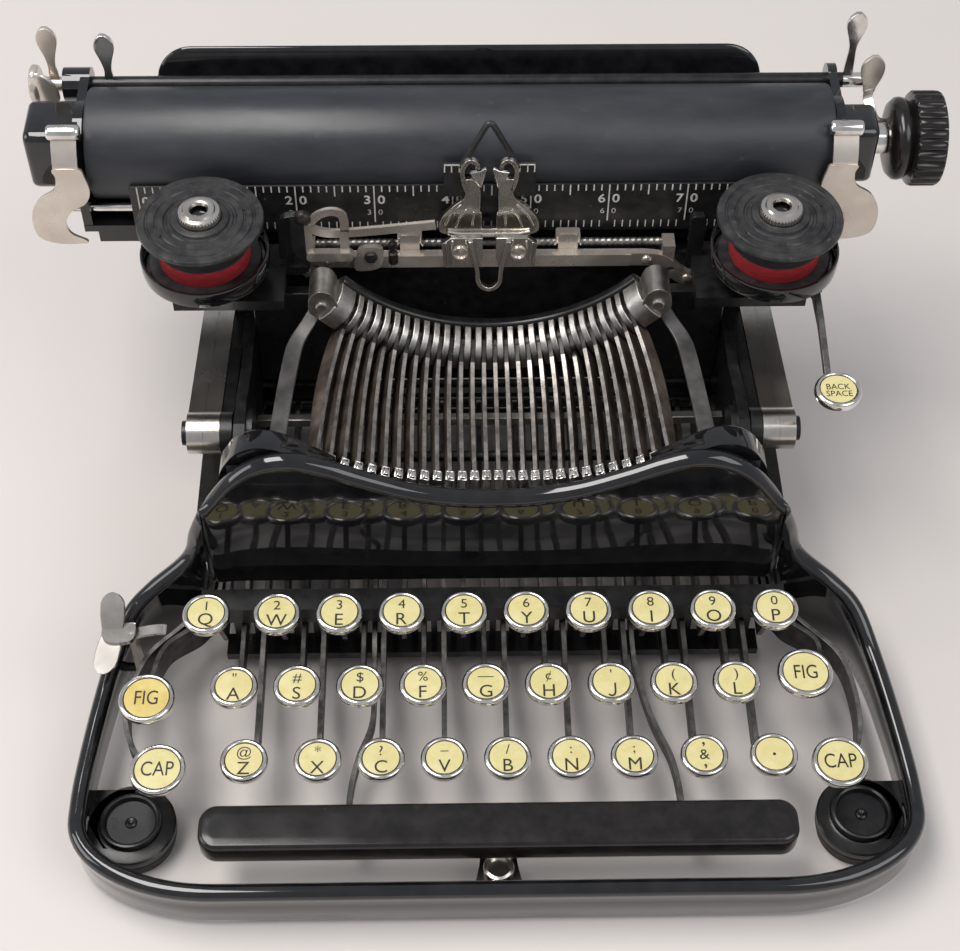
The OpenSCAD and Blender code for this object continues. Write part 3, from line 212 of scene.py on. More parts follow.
class Shape:
    """Vertices and faces in millimetres, made into one piece at the end."""

    def __init__(self):
        self.v, self.f, self.m = [], [], []

    def add(self, verts, faces, mats=0):
        k = len(self.v)
        self.v += [tuple(p) for p in verts]
        self.f += [[k + i for i in face] for face in faces]
        self.m += [mats] * len(faces) if isinstance(mats, int) else mats

    def loft(self, rings, mat=0, closed=True, caps=True, loop=False, mats=None):
        """Joins rings of equal length; mats gives one material per side of the ring."""
        n, count = len(rings[0]), len(rings)
        faces, used = [], []
        for i in range(count if loop else count - 1):
            j = (i + 1) % count
            for k in range(n if closed else n - 1):
                q = (k + 1) % n
                faces.append([i * n + k, i * n + q, j * n + q, j * n + k])
                used.append(mats[k] if mats else mat)
        if closed and caps and not loop:
            faces += [list(range(n))[::-1], [(count - 1) * n + k for k in range(n)]]
            used += [mat, mat]
        self.add([p for r in rings for p in r], faces, used)

    def lathe(self, profile, centre, axis="z", n=48, mat=0, span=(0, 360), ring=False, ribs=None):
        """Turns (radius, height) points about an axis; ribs = (count, depth, from, to) waves the radius."""
        full = span[1] - span[0] >= 360
        cx, cy, cz = centre
        rings = []
        for i in range(n if full else n + 1):
            a = math.radians(lerp(span[0], span[1], i / n))
            points = []
            for r, h in profile:
                if ribs and ribs[2] <= h <= ribs[3]:
                    r -= ribs[1] * (0.5 - 0.5 * math.cos(ribs[0] * a)) ** 2
                u, w = r * math.cos(a), r * math.sin(a)
                points.append({"z": (cx + u, cy + w, cz + h), "x": (cx + h, cy + u, cz + w),
                               "y": (cx + u, cy + h, cz + w)}[axis])
            rings.append(points)
        self.loft(rings, mat, closed=ring, loop=full, caps=ring)

    def plate(self, loops, lo, hi, plane="xz", mat=0, edge=None):
        """Flat plate between lo and hi with an outline and holes, drawn in plane."""
        put = {"yz": lambda p, d: (d, p[0], p[1]), "xz": lambda p, d: (p[0], d, p[1]),
               "xy": lambda p, d: (p[0], p[1], d)}[plane]
        points = [p for loop in loops for p in loop]
        n = len(points)
        tris = tessellate_polygon([[Vector((p[0], p[1], 0)) for p in loop] for loop in loops])
        faces = [list(t) for t in tris] + [[n + i for i in t[::-1]] for t in tris]
        used = [mat] * len(faces)
        k = 0
        for loop in loops:
            m = len(loop)
            faces += [[k + i, k + (i + 1) % m, n + k + (i + 1) % m, n + k + i] for i in range(m)]
            used += [mat if edge is None else edge] * m
            k += m
        self.add([put(p, lo) for p in points] + [put(p, hi) for p in points], faces, used)

    def box(self, x0, x1, y0, y1, z0, z1):
        x0, x1 = sorted((x0, x1))
        self.plate([[(x0, y0), (x1, y0), (x1, y1), (x0, y1)]], z0, z1, "xy")

    def tube(self, path, r, n):
        """Round wire along a path."""
        rings = []
        side = None
        for i, p in enumerate(path):
            d = heading(path, i).normalized()
            if side is None:
                side = d.orthogonal().normalized()
            side = (side - d * side.dot(d)).normalized()
            other = d.cross(side)
            rings.append([tuple(Vector(p) + side * r * math.cos(a) + other * r * math.sin(a))
                          for a in [2 * math.pi * k / n for k in range(n)]])
        self.loft(rings)

    def strip(self, path, lower, upper, t):
        """Upright strip along a plan path, its heights polylines of (y, z), its top in material 1, which the
        levers use for a painted highlight.
        """
        rings = []
        for i, p in enumerate(path):
            d = heading(path, i)
            s = Vector((-d[1], d[0])).normalized() * t / 2
            z0, z1 = along(lower, p[1]), along(upper, p[1])
            rings.append([(p[0] - s[0], p[1] - s[1], z0), (p[0] + s[0], p[1] + s[1], z0),
                          (p[0] + s[0], p[1] + s[1], z1), (p[0] - s[0], p[1] - s[1], z1)])
        self.loft(rings, mats=[0, 0, 1, 0])

    def band(self, path, width, t, across=(1, 0, 0)):
        """Flat strap along a 3-D path, wide in the direction across."""
        rings = []
        a = Vector(across).normalized() * width / 2
        for i, p in enumerate(path):
            d = heading(path, i).normalized()
            up = a.cross(d).normalized() * t / 2
            q = Vector(p)
            rings.append([tuple(q - a - up), tuple(q + a - up), tuple(q + a + up), tuple(q - a + up)])
        self.loft(rings)

    def make(self, name, body, slot, mats, hides=(), bevel=0.0, smooth=SHARP):
        """Makes the piece ride on a body; hides are the nodes that it replaces."""
        mesh = bpy.data.meshes.new(name)
        mesh.from_pydata([at(*p) for p in self.v], [], self.f)
        for m in mats:
            mesh.materials.append(m)
        mesh.polygons.foreach_set("material_index", self.m)
        bm = bmesh.new()
        bm.from_mesh(mesh)
        bmesh.ops.remove_doubles(bm, verts=bm.verts, dist=1e-7)
        bmesh.ops.dissolve_degenerate(bm, edges=bm.edges, dist=1e-7)
        bmesh.ops.recalc_face_normals(bm, faces=bm.faces)
        bm.to_mesh(mesh)
        bm.free()
        for poly in mesh.polygons:
            poly.use_smooth = True
        mesh.set_sharp_from_angle(angle=math.radians(smooth))
        piece = bpy.data.objects.new(name, mesh)
        scene.collection.objects.link(piece)
        if bevel:
            soften(piece, bevel)
        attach(piece, body)
        if hides:
            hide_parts(*hides)


def soften(piece, width):
    mod = piece.modifiers.new("soft_edges", "BEVEL")
    mod.width = width / 1000
    mod.segments = 2
    mod.limit_method = "ANGLE"
    mod.angle_limit = math.radians(SHARP)
    mod.use_clamp_overlap = True


GLYPHS = {}
# Middle line of the J, which is drawn because the font's has no hook
HOOKED_J = [(0.17, 0.73), (0.17, 0.45), (0.16, 0.18), (0.08, 0.03), (-0.05, 0.0), (-0.17, 0.08)]
HALF_STROKE = 0.045


def glyph(text, thin):
    """Points and faces of a line of text of height 1, centred on its own box."""
    if text == "J":
        edge = ribbon(curve(HOOKED_J, 5), HALF_STROKE)
        n = len(edge) // 2
        return edge, [[i, i + 1, 2 * n - 2 - i, 2 * n - 1 - i] for i in range(n - 1)]
    if (text, thin) not in GLYPHS:
        data = bpy.data.curves.new("letters", "FONT")
        data.body = text
        data.size = 1.0
        data.offset = -thin
        data.resolution_u = 5
        holder = bpy.data.objects.new("letters", data)
        scene.collection.objects.link(holder)
        mesh = bpy.data.meshes.new_from_object(holder.evaluated_get(bpy.context.evaluated_depsgraph_get()))
        xs = [v.co.x for v in mesh.vertices]
        middle = (min(xs) + max(xs)) / 2
        GLYPHS[(text, thin)] = ([(v.co.x - middle, v.co.y) for v in mesh.vertices],
                                [list(p.vertices) for p in mesh.polygons])
        bpy.data.objects.remove(holder)
        bpy.data.meshes.remove(mesh)
    return GLYPHS[(text, thin)]


def letter(shape, text, size, place, thin, wide=1.0):
    """Adds text to a shape; place turns letter coordinates into millimetres of the drawing."""
    points, faces = glyph(text, thin)
    shape.add([place(u * size * wide, v * size) for u, v in points], faces)


def circle(x, y, r, n, wide=1.0):
    turns = [2 * math.pi * k / n for k in range(n)]
    return [(x + r * wide * math.cos(a), y + r * math.sin(a)) for a in turns]


def round_box(x0, x1, y0, y1, r, n):
    """Rectangle with round corners of n steps each."""
    out = []
    corners = ((x1 - r, y1 - r), (x0 + r, y1 - r), (x0 + r, y0 + r), (x1 - r, y0 + r))
    for quarter, (cx, cy) in enumerate(corners):
        turns = [math.radians(90 * quarter + 90 * k / n) for k in range(n + 1)]
        out += [(cx + r * math.cos(a), cy + r * math.sin(a)) for a in turns]
    return out


SIDES = (-1, 1)


def sided(side, points):
    """Outline drawn on the right, turned over for the left side."""
    return [(side * u, v) for u, v in points]


def whole(half, x=0, z=0):
    """Outline from its right half, with its middle line at x."""
    return [(x + u, z + v) for u, v in half] + [(x - u, z + v) for u, v in half[::-1]]


def hub(shape, bore, r, half, centre):
    """Round boss of a lever, open for its shaft."""
    shape.lathe([(bore, -half), (r, -half), (r, half), (bore, half)], centre, "x", 28, ring=True)


# Ring and shield: one casting with a bead along its rim
FRONT_Y, RING_LOW, RING_TOP = 3.1, 4, 21
CORNER_X, CORNER_Y, CORNER_WIDE, CORNER_DEEP = 83.4, 28.1, 43, 25
HALF_WALL, BEAD_R, BEAD_IN = 1.5, 2.7, 0.4
SHIELD_LOW, SHIELD_DIP, SHIELD_DIP_Y = 35, 69.3, 111.53
SHIELD_LEAN = math.radians(12)
# Rim from the front corner to the shield: x, y, lower edge and top
RIM_SIDE = [(126.4, 28.1, 4, 21), (126.1, 40.1, 4, 21.6), (124, 60, 4, 23), (120.8, 79.5, 4, 25.5),
            (115.6, 93, 4, 33), (108.6, 99.8, 4, 38), (97, 104.8, 4, 47), (93.6, 106.9, 36.5, 57),
            (90.6, 108.4, 38.5, 64)]
SHIELD_TOP = [(88.5, 66.95), (80.6, 76.8), (71.7, 82.65), (61.5, 83.97), (50.9, 81.3), (40.3, 77.1),
              (25.4, 72.1), (11.1, 69.7), (0, 69.3)]


def shield_y(z):
    """Middle of the leaning shield at height z."""
    return SHIELD_DIP_Y + (z - SHIELD_DIP) * math.tan(SHIELD_LEAN)


def wall_section(height):
    """Section of the wall with its bead: place inwards and height."""
    section = [(-HALF_WALL, 0.4), (-1.2, 0), (1.2, 0), (HALF_WALL, 0.4), (HALF_WALL, height * 0.5),
               (HALF_WALL, height - 5.4)]
    for turn in range(-40, 221, 20):
        a = math.radians(turn)
        section.append((BEAD_IN + BEAD_R * math.cos(a), height - BEAD_R + BEAD_R * math.sin(a)))
    return section + [(-HALF_WALL, height - 4.9), (-HALF_WALL, height * 0.5)]


def casting():
    right = [(x, FRONT_Y, RING_LOW, x, FRONT_Y, RING_TOP) for x in (0, 25, 50, 68)]
    for turn in range(-90, 0, 5):
        a = math.radians(turn)
        x, y = CORNER_X + CORNER_WIDE * math.cos(a), CORNER_Y + CORNER_DEEP * math.sin(a)
        right.append((x, y, RING_LOW, x, y, RING_TOP))
    side = [(x, y, low, x, y, top) for x, y, low, top in RIM_SIDE]
    side += [(x, shield_y(SHIELD_LOW), SHIELD_LOW, x, shield_y(top), top) for x, top in SHIELD_TOP]
    right += curve(side, 6)
    stations = right + [(-b, c, d, -e, f, g) for b, c, d, e, f, g in right[-2:0:-1]]
    rings = []
    for i, station in enumerate(stations):
        p, q = stations[i - 1], stations[(i + 1) % len(stations)]
        d = Vector((q[0] + q[3] - p[0] - p[3], q[1] + q[4] - p[1] - p[4])).normalized()
        inward = Vector((-d[1], d[0], 0))
        low, top = Vector(station[:3]), Vector(station[3:])
        up = (top - low).normalized()
        rings.append([tuple(low + inward * a + up * h) for a, h in wall_section((top - low).length)])
    s = Shape()
    s.loft(rings, loop=True)
    s.make("casting", "base", "black_enamel", [ENAMEL], ("base_frame", "front_shield"), smooth=50)


casting()

# Rounded shoulders behind the ends of the shield
SHOULDER_X, SHOULDER_Z = 70, 66
SHOULDER_TOP = [(49, 71.6), (55, 76.4), (61, 80.8), (66, 83.7), (70.5, 84.9), (75, 84.2), (79, 81.6),
                (82, 77.4), (84.3, 72.4), (86.1, 62.3)]
SHOULDER = curve(SHOULDER_TOP, 4) + [(79.4, 49.6), (66.6, 49.6), (59.4, 66)]
shoulders = Shape()
for side in SIDES:
    shoulders.loft([[(side * lerp(SHOULDER_X, u, k), y, lerp(SHOULDER_Z, v, k)) for u, v in SHOULDER]
                    for y, k in ((116.3, 1), (123.4, 1), (124.1, 0.985), (124.5, 0.95))])
shoulders.make("shield_shoulders", "base", "black_enamel", [ENAMEL], smooth=50)

# Corner lugs with their raised rings, side lugs, front bracket, lock pin, spring cup and feet
FOOT_X, FOOT_Y, FOOT_H = 111.3, 31, 6
REAR_FOOT_X, REAR_FOOT_Y = 85.025, 193
LOCK_Y, LOCK_Z = 84, 15
LUG_RING = [(0, 0), (13.3, 0), (13.5, 0.4), (13.5, 2.6), (13, 3), (10.2, 3), (9.45, 3.3), (9.45, 5.2),
            (9.1, 5.8), (8.5, 6), (7.9, 5.7), (7.5, 4.9), (7.3, 4.1), (1.9, 4), (1.7, 4.5), (1.2, 4.8),
            (0.5, 4.6), (0, 4.2)]
LUG_PLATE = [(111.3, 23), (119, 23), (124.2, 31), (125, 37), (124.6, 43), (111.3, 43)]
# Web of the front bracket: y, half width and height
WEB = ((3.4, 15, 6.2), (5.5, 11.5, 6.8), (8, 8.6, 7.6), (11, 6.7, 8.2), (15, 5.8, 8.6), (18.4, 5.4, 8.8))
lugs = Shape()
for side in SIDES:
    lugs.lathe(LUG_RING, (side * FOOT_X, FOOT_Y, FOOT_H), n=56)
    lugs.plate([sided(side, LUG_PLATE)], 6, 9, "xy")
    lugs.box(side * 96.1, side * 99.6, 104, 142, 6, 16)
lugs.plate([[(-25, 3.2), (25, 3.2), (22, 5.4), (-22, 5.4)]], 6, 8.4, "xy")
lugs.loft([[(-h, y, z), (h, y, z), (h, y, z + 2), (-h, y, z + 2)] for y, h, z in WEB])
lugs.tube([(-123.4, LOCK_Y, LOCK_Z), (-110.9, LOCK_Y, LOCK_Z)], 1.5, 16)
lugs.make("ring_lugs", "base", "black_enamel", [PAINT], smooth=35)
SPRING_CUP = [(0, 0), (4.6, 0), (4.7, 0.4), (4.7, 3.6), (4.4, 4.4), (3.6, 4.7), (3.1, 4.4), (3.0, 2.4),
              (0, 2.2)]
cup = Shape()
cup.lathe(SPRING_CUP, (0, 13.2, 9.4), n=40)
cup.make("spring_cup", "base", "nickel", [NICKEL])
feet = Shape()
for side in SIDES:
    feet.lathe([(0, 0), (11.5, 0), (12.4, 0.5), (13.3, 4.5), (13.5, 5.6), (13.2, FOOT_H), (0, FOOT_H)],
               (side * FOOT_X, FOOT_Y, 0), n=56)
    feet.lathe([(0, 0), (9.6, 0), (10.4, 0.5), (10.9, 4.5), (11, 5.6), (10.8, FOOT_H), (0, FOOT_H)],
               (side * REAR_FOOT_X, REAR_FOOT_Y, 0))
feet.make("feet", "base", "foot_rubber", [FOOT], ("rubber_feet",))

# Keys in the order of their levers: name, upper and lower legend
KEYS = [("q", "1", "Q"), ("a", '"', "A"), ("z", "@", "Z"), ("w", "2", "W"), ("s", "#", "S"), ("x", "*", "X"),
        ("e", "3", "E"), ("d", "$", "D"), ("c", "?", "C"), ("r", "4", "R"), ("f", "%", "F"), ("v", "–", "V"),
        ("t", "5", "T"), ("g", "—", "G"), ("b", "/", "B"), ("y", "6", "Y"), ("h", "¢", "H"),
        ("n", ":", "N"), ("u", "7", "U"), ("j", "'", "J"), ("m", ";", "M"), ("i", "8", "I"), ("k", "(", "K"),
        ("comma", "&", ","), ("o", "9", "O"), ("l", ")", "L"), ("period", "", "."), ("p", "0", "P")]
# Sideways crank of some keys on their levers
CRANK = {"q": -2.5, "z": -3.0, "comma": 2.0, "period": 4.0}
MIDDLE = (len(KEYS) - 1) / 2
LEVER_STEP, HALF_LEVER = 6.35, 0.8
SHAFT_Y, SHAFT_Z = 185, 20
COMB_FRONT, COMB_BACK = 92.05, 100.05
KEY_D, SHIFT_KEY_D = 14.5, 17
ROW_Y, ROW_DEEP, ROW_Z, ROW_DROP = 81.3, 19.9, 49.2, 9.85


def key_top(name, body, centre, d, lines, disc=CREAM, hides=()):
    """Nickel ring, pale disc and legend; lines are (text, size, place in front of the middle, width)."""
    r = d / 2
    ring = Shape()
    ring.lathe([(r - 1.5, -0.8), (r - 1.45, -0.35), (r - 1.25, -0.1), (r - 0.9, 0), (r - 0.5, -0.12),
                (r - 0.15, -0.5), (r, -1.1), (r, -2.3), (r - 0.25, -2.9), (r - 0.9, -3.2), (r * 0.62, -3.25),
                (r * 0.6, -4.2), (0, -4.2)], centre, n=44)
    ring.make(name + "_ring", body, "nickel", [CHROME], hides)
    face = Shape()
    face.lathe([(0, -0.3), (r * 0.5, -0.32), (r - 1.75, -0.42), (r - 1.8, -0.43)], centre, n=40)
    # The edge that slopes down under the ring's lip is black: painted shade in the gap between disc and ring
    face.lathe([(r - 1.8, -0.43), (r - 1.6, -0.5), (r - 1.45, -0.8)], centre, n=40, mat=1)
    face.make(name + "_disc", body, "key_top", [disc, INK_AND_SHADE])
    marks = Shape()
    for text, size, forward, wide in lines:
        def place(u, v):
            return (centre[0] + u, centre[1] + v - forward, centre[2] - 0.26)

        letter(marks, text, size, place, 0, wide)
    marks.make(name + "_legend", body, "scale_black", [INK_AND_SHADE])


def key_lines(key, upper, lower):
    """Lines of a key's legend."""
    if key == "comma":
        return [(lower, 6.5, -3.4, 1), (upper, 5.0, 1.7, 1), (lower, 6.5, 4.2, 1)]
    if key == "period":
        return [(lower, 8.0, 0.6, 1)]
    return [(lower, 6.1, 4.4 if key == "q" else 5.0, 1), (upper, 4.7, -0.9, 1)]


for i, (key, upper, lower) in enumerate(KEYS):
    row = i % 3
    x, y, z = (i - MIDDLE) * LEVER_STEP, ROW_Y - ROW_DEEP * row, ROW_Z - ROW_DROP * row
    body = "key_" + key
    bend = min(26, z - 4.4)
    rise = max(z - 17, bend + 0.1)
    top_edge = [(SHAFT_Y, SHAFT_Z + 4), (COMB_BACK, 25.5), (y + 13, bend), (y + 8, rise),
                (y + 2.6, max(z - 7, rise)), (y + 2, z - 4.1)]
    low_edge = [(y - 2, z - 4.1), (y - 1.6, z - 6.6), (y + 4, max(20.5, z - 16)), (y + 10, 18.6),
                (COMB_FRONT, 18.5), (SHAFT_Y, SHAFT_Z - 4)]
    lever = Shape()
    # The lever's edges are in material 1: a painted highlight
    lever.plate([top_edge + low_edge], x - HALF_LEVER, x + HALF_LEVER, "yz", 0, 1)
    hub(lever, 2.55, 5, 0.9, (x, SHAFT_Y, SHAFT_Z))
    if key in CRANK:
        lever.box(x, x + CRANK[key], y - 2, y + 2, z - 5, z - 4)
    lever.make(body + "_lever", body, "lever_steel", [LEVER, STEEL_AND_EDGE_HIGHLIGHT], bevel=0.15)
    key_top(body, body, (x + CRANK.get(key, 0), y, z), KEY_D, key_lines(key, upper, lower), hides=(body,))

# Space bar on its two bent levers
SPACE_HALF, SPACE_FRONT, SPACE_BACK, SPACE_R = 88, 11.75, 26.25, 5.45


def bent(x, straight, *turns):
    """Plan of a lever that runs straight from the shaft through some depths and then turns."""
    return curve([(x, SHAFT_Y), *((x, y) for y in straight), *turns], 8)


def bar_outline(inset):
    return round_box(inset - SPACE_HALF, SPACE_HALF - inset, SPACE_FRONT + inset, SPACE_BACK - inset,
                     SPACE_R - inset, 8)


bar = Shape()
bar.loft([[(p[0], p[1], z) for p in bar_outline(o)] for o, z in
          ((1.2, 21), (0.2, 21.4), (0, 22.2), (0, 28.3), (0.2, 29.1), (0.7, 29.7), (1.4, 29.95), (3.6, 30))])
bar.make("space_bar_top", "space_bar", "black_plastic", [PLASTIC], ("space_bar",), smooth=60)
SPACE_PATHS = (bent(-6 * LEVER_STEP, (120, 84), (-38.5, 63), (-42.6, 50), (-45, 36), (-45.4, 16)),
               bent(7 * LEVER_STEP, (120, 86), (46.8, 72), (50.4, 60), (54.6, 48), (56.2, 34), (56.6, 16)))
SPACE_LOWER = [(SHAFT_Y, 16), (COMB_FRONT, 18), (62.3, 10.5), (31, 10.5), (21, 12.5), (16, 21.5)]
SPACE_UPPER = [(SHAFT_Y, 24), (COMB_BACK, 23), (64.3, 15), (32, 14.5), (24, 21.6), (16, 21.6)]
arms = Shape()
for path in SPACE_PATHS:
    # The tops of the levers are in material 1: a painted highlight
    arms.strip(path, SPACE_LOWER, SPACE_UPPER, 2 * HALF_LEVER)
    hub(arms, 2.55, 5, 0.9, (path[0][0], SHAFT_Y, SHAFT_Z))
arms.make("space_bar_levers", "space_bar", "lever_steel", [LEVER, STEEL_AND_EDGE_HIGHLIGHT], bevel=0.15)

# Shift levers, which turn on the lever shaft and are joined by a bail behind it
CAP_X, FIG_X = 90.825, 88.425
CAP_PATHS = (bent(-CAP_X, (150, 108), (-98, 95), (-109.6, 82), (-114.4, 64), (-110.2, 48), (-101.5, 38.5)),
             bent(CAP_X, (150, 108), (97, 95), (109.6, 80), (112.6, 62), (110.2, 47), (102.9, 38.5)))
FIG_PATHS = (bent(-FIG_X, (150, 106), (-93, 94), (-103, 84), (-105.8, 72), (-105.6, 58.3)),
             bent(FIG_X, (150, 106), (93, 93), (101.3, 83), (100.4, 72), (94.2, 63.7)))
CAP_LOWER = [(SHAFT_Y, 16), (COMB_FRONT, 15), (52.5, 15), (34.5, 23)]
CAP_UPPER = [(SHAFT_Y, 24), (COMB_BACK, 25), (72.05, 23.5), (50.5, 24), (42.5, 26.4), (34.5, 26.4)]
SHIFTS = (("shift_cap", CAP_PATHS, (196.5, 14), (30, 30)), ("shift_fig", FIG_PATHS, (193.6, 27), (38, 40)))
for name, paths, (bail_y, bail_z), heights in SHIFTS:
    arms = Shape()
    for path, fz in zip(paths, heights):
        fy = path[-1][1]
        low, high = CAP_LOWER, CAP_UPPER
        if name == "shift_fig":
            low = [(SHAFT_Y, 16), (COMB_FRONT, 15), (fy + 14, 21), (fy - 4, fz - 9)]
            high = [(SHAFT_Y, 24), (COMB_BACK, 25), (fy + 14, 30), (fy + 4, fz - 3.6), (fy - 4, fz - 3.6)]
        # The tops of the levers are in material 1: a painted highlight
        arms.strip(path, low, high, 2 * HALF_LEVER)
        x = path[0][0]
        arms.plate([[(184, 15.5), (bail_y + 1, bail_z - 2.5), (bail_y + 2.5, bail_z + 2), (186, 24.5)]],
                   x - HALF_LEVER, x + HALF_LEVER, "yz")
        hub(arms, 2.55, 5, 0.9, (x, SHAFT_Y, SHAFT_Z))
    arms.tube([(paths[0][0][0], bail_y, bail_z), (paths[1][0][0], bail_y, bail_z)], 1.5, 16)
    arms.make(name + "_levers", name, "lever_steel", [LEVER, STEEL_AND_EDGE_HIGHLIGHT], (name,), bevel=0.15)
    word = name[-3:].upper()
    for k, path in enumerate(paths):
        key_top(f"{name}_{k}", name, (*path[-1], heights[k]), SHIFT_KEY_D, [(word, 7.0, 2.4, 0.76)],
                AMBER if word == "FIG" and k == 0 else CREAM)

# Segment: toothed half ring, dark rim, plate and bent straps
FAN_Y, FAN_Z, PIVOT_R, FAN_SPAN = 180, 130, 69, 84
BAR_COUNT = len(KEYS)
FAN = [FAN_SPAN * (i - MIDDLE) / (BAR_COUNT - 1) for i in range(BAR_COUNT)]
HALF_SLOT, END_TEETH, RIM_SPAN, HOLLOW_R = 0.66, 6, 48, 66
# Section of a tooth: y and radius
TOOTH = [(187, 64.0), (182.5, 64.0), (179.4, 64.5), (176.8, 65.8), (175.0, 67.8), (174.2, 70.2), (174, 73),
         (174.2, 74.6), (175, 75), (187, 75)]


def pivot(a):
    """Pivot of the typebar at angle a of the fan."""
    return Vector((PIVOT_R * math.sin(a), FAN_Y, FAN_Z - PIVOT_R * math.cos(a)))


teeth = Shape()
edges = [FAN[0] - END_TEETH]
for f in FAN:
    edges += [f - HALF_SLOT, f + HALF_SLOT]
edges.append(FAN[-1] + END_TEETH)
for a0, a1 in zip(edges[::2], edges[1::2]):
    rings = []
    for k in range(4):
        a = math.radians(lerp(a0, a1, k / 3))
        rings.append([(r * math.sin(a), y, FAN_Z - r * math.cos(a)) for y, r in TOOTH])
    teeth.loft(rings)
for f in FAN:
    a = math.radians(f)
    u = Vector((math.cos(a), 0, math.sin(a))) * 1.1
    teeth.tube([tuple(pivot(a) - u), tuple(pivot(a) + u)], 0.8, 12)
teeth.make("segment_teeth", "base", "dull_nickel", [DULL], ("segment",), bevel=0.25)
rim = Shape()
rim.lathe([(62.9, 4.2), (63.9, 3.6), (66.2, 3.6), (66.2, 7), (63.2, 7), (62.9, 6.6)], (0, FAN_Y, FAN_Z),
          "y", 60, span=(-90 - RIM_SPAN, -90 + RIM_SPAN), ring=True)
back = [(-78, 38), (78, 38), (78, 80), (43.3, 80)]
for turn in range(-50, -131, -5):
    a = math.radians(turn)
    back.append((HOLLOW_R * math.cos(a), FAN_Z + HOLLOW_R * math.sin(a)))
back += [(-43.3, 80), (-78, 80)]
rim.plate([back], 186, 190)
rim.make("segment_plate", "base", "black_enamel", [PAINT], bevel=0.4)
STRAP_PATH = [(67.4, 132, 70.9), (66.4, 146, 70.9), (64.4, 166, 71.3), (62.6, 173, 72.5), (58.8, 179, 74.8),
              (56, 184.5, 76.4)]
straps = Shape()
for side in SIDES:
    straps.band(curve([(side * x, y, z) for x, y, z in STRAP_PATH], 5), 5.4, 1.5)
straps.make("segment_straps", "base", "lever_steel", [STRAP], bevel=0.3)

# Typebars, bowed, with a painted highlight on their upper edges, painted shade on their heels in the
# segment's slots, and type slugs
BAR_L, HALF_BAR, MOVING_BAR = 55, 0.65, 13
BAR_HUB = ((-HALF_BAR, 0.85), (-HALF_BAR, 2.6), (HALF_BAR, 2.6), (HALF_BAR, 0.85))
# Boxes of a slug and its two raised letters: half width, y and z
SLUG = ((1.5, -57, -53, -3.4, 2.6), (0.9, -56.6, -54.6, 2.6, 3.4), (1.1, -54.2, -53.4, 2.6, 3.2))
BOX_FACES = [[0, 1, 3, 2], [4, 6, 7, 5], [0, 4, 5, 1], [2, 3, 7, 6], [0, 2, 6, 4], [1, 5, 7, 3]]


def typebar(bars, slugs, i):
    a = math.radians(FAN[i])
    splay = abs(i - MIDDLE) / MIDDLE
    pitch = math.radians(3 + 13 * splay ** 1.5)
    centre = pivot(a)
    across = Vector((math.cos(a), 0, math.sin(a)))
    out = Vector((-math.sin(a), 0, math.cos(a)))

    def place(x, y, z):
        y, z = y * math.cos(pitch) - z * math.sin(pitch), y * math.sin(pitch) + z * math.cos(pitch)
        return tuple(centre + across * x + Vector((0, y, 0)) + out * z)

    rings = []
    for k in range(23):
        t = k / 22
        half = lerp(2.8, 2.0, t)
        bow = 3.6 * math.sin(math.pi * t ** 0.7)
        low = -half - bow - 1.8 * math.sin(math.pi * t)
        y = -BAR_L * t
        rings.append([place(-HALF_BAR, y, low), place(HALF_BAR, y, low),
                      place(HALF_BAR, y, half - bow), place(-HALF_BAR, y, half - bow)])
    # The heel in the segment's slot and the hub are in dark lever steel: painted shade
    bars.loft(rings[:4], 2)
    # From the slot forwards the upper face carries the painted highlight
    bars.loft(rings[3:], mats=[0, 0, 1, 0])
    turns = [2 * math.pi * k / 24 for k in range(24)]
    bars.loft([[place(x, r * math.cos(b), r * math.sin(b)) for x, r in BAR_HUB] for b in turns], 2, loop=True)
    for w, y0, y1, z0, z1 in SLUG:
        slugs.add([place(x, y, z) for x in (-w, w) for y in (y0, y1) for z in (z0, z1)], BOX_FACES)


def bar_set(members, body, bar_name, slug_name, node):
    """Typebars and slugs of one body."""
    bars, slugs = Shape(), Shape()
    for i in members:
        typebar(bars, slugs, i)
    bars.make(bar_name, body, "type_steel", [TYPE_SIDE, TYPE_TOP_HIGHLIGHT, LEVER], (node,), smooth=60)
    slugs.make(slug_name, body, "nickel", [CHROME], bevel=0.35)


FIXED_BARS = [i for i in range(BAR_COUNT) if i != MOVING_BAR]
bar_set(FIXED_BARS, "base", "typebars_fan", "type_slugs", "typebars")
bar_set([MOVING_BAR], "typebar_g", "typebar_g_bar", "typebar_g_slug", "typebar_g")

# Ribbon cups and spools
SPOOL_X, SPOOL_Y, CUP_Z, SPOOL_LOW, SPOOL_TOP = 90.4, 182.5, 98, 99.7, 117
CUP = [(0, 0), (19.6, 0), (20.3, 0.5), (20.5, 1.2), (20.5, 5.4), (20.3, 5.9), (19.8, 6), (19.3, 5.7),
       (19.2, 5), (19.2, 1.8), (18.8, 1.4), (2.5, 1.4), (2.5, 20.6), (2.1, 21), (0, 21)]
LOW_FLANGE = [(2.55, 0), (17.6, 0), (18, 0.3), (18, 1.1), (17.6, 1.4), (14, 1.4)]
TOP_FLANGE = [(14, -1.6), (19.4, -1.6), (19.8, -1.3), (19.8, -0.5), (19.6, -0.1), (19, 0), (17.4, 0),
              (17.1, -0.4), (16.6, -0.4), (16.3, 0), (14.4, 0), (14.1, -0.35), (13.7, -0.35), (13.4, 0),
              (11.6, 0), (11.2, -0.5), (10.6, -0.5), (10.2, -0.05), (2.55, 0)]
WASHER = [(6.9, -0.1), (9.3, 0.0), (9.0, 0.7), (8.0, 1.0), (6.9, 1.0)]
NUT = [(2.6, -0.1), (6.5, -0.1), (6.8, 0.3), (6.8, 2.8), (6.4, 3.4), (5.2, 3.7), (4.8, 4.3), (3.6, 4.4),
       (3.0, 4.1), (2.6, 3.2)]
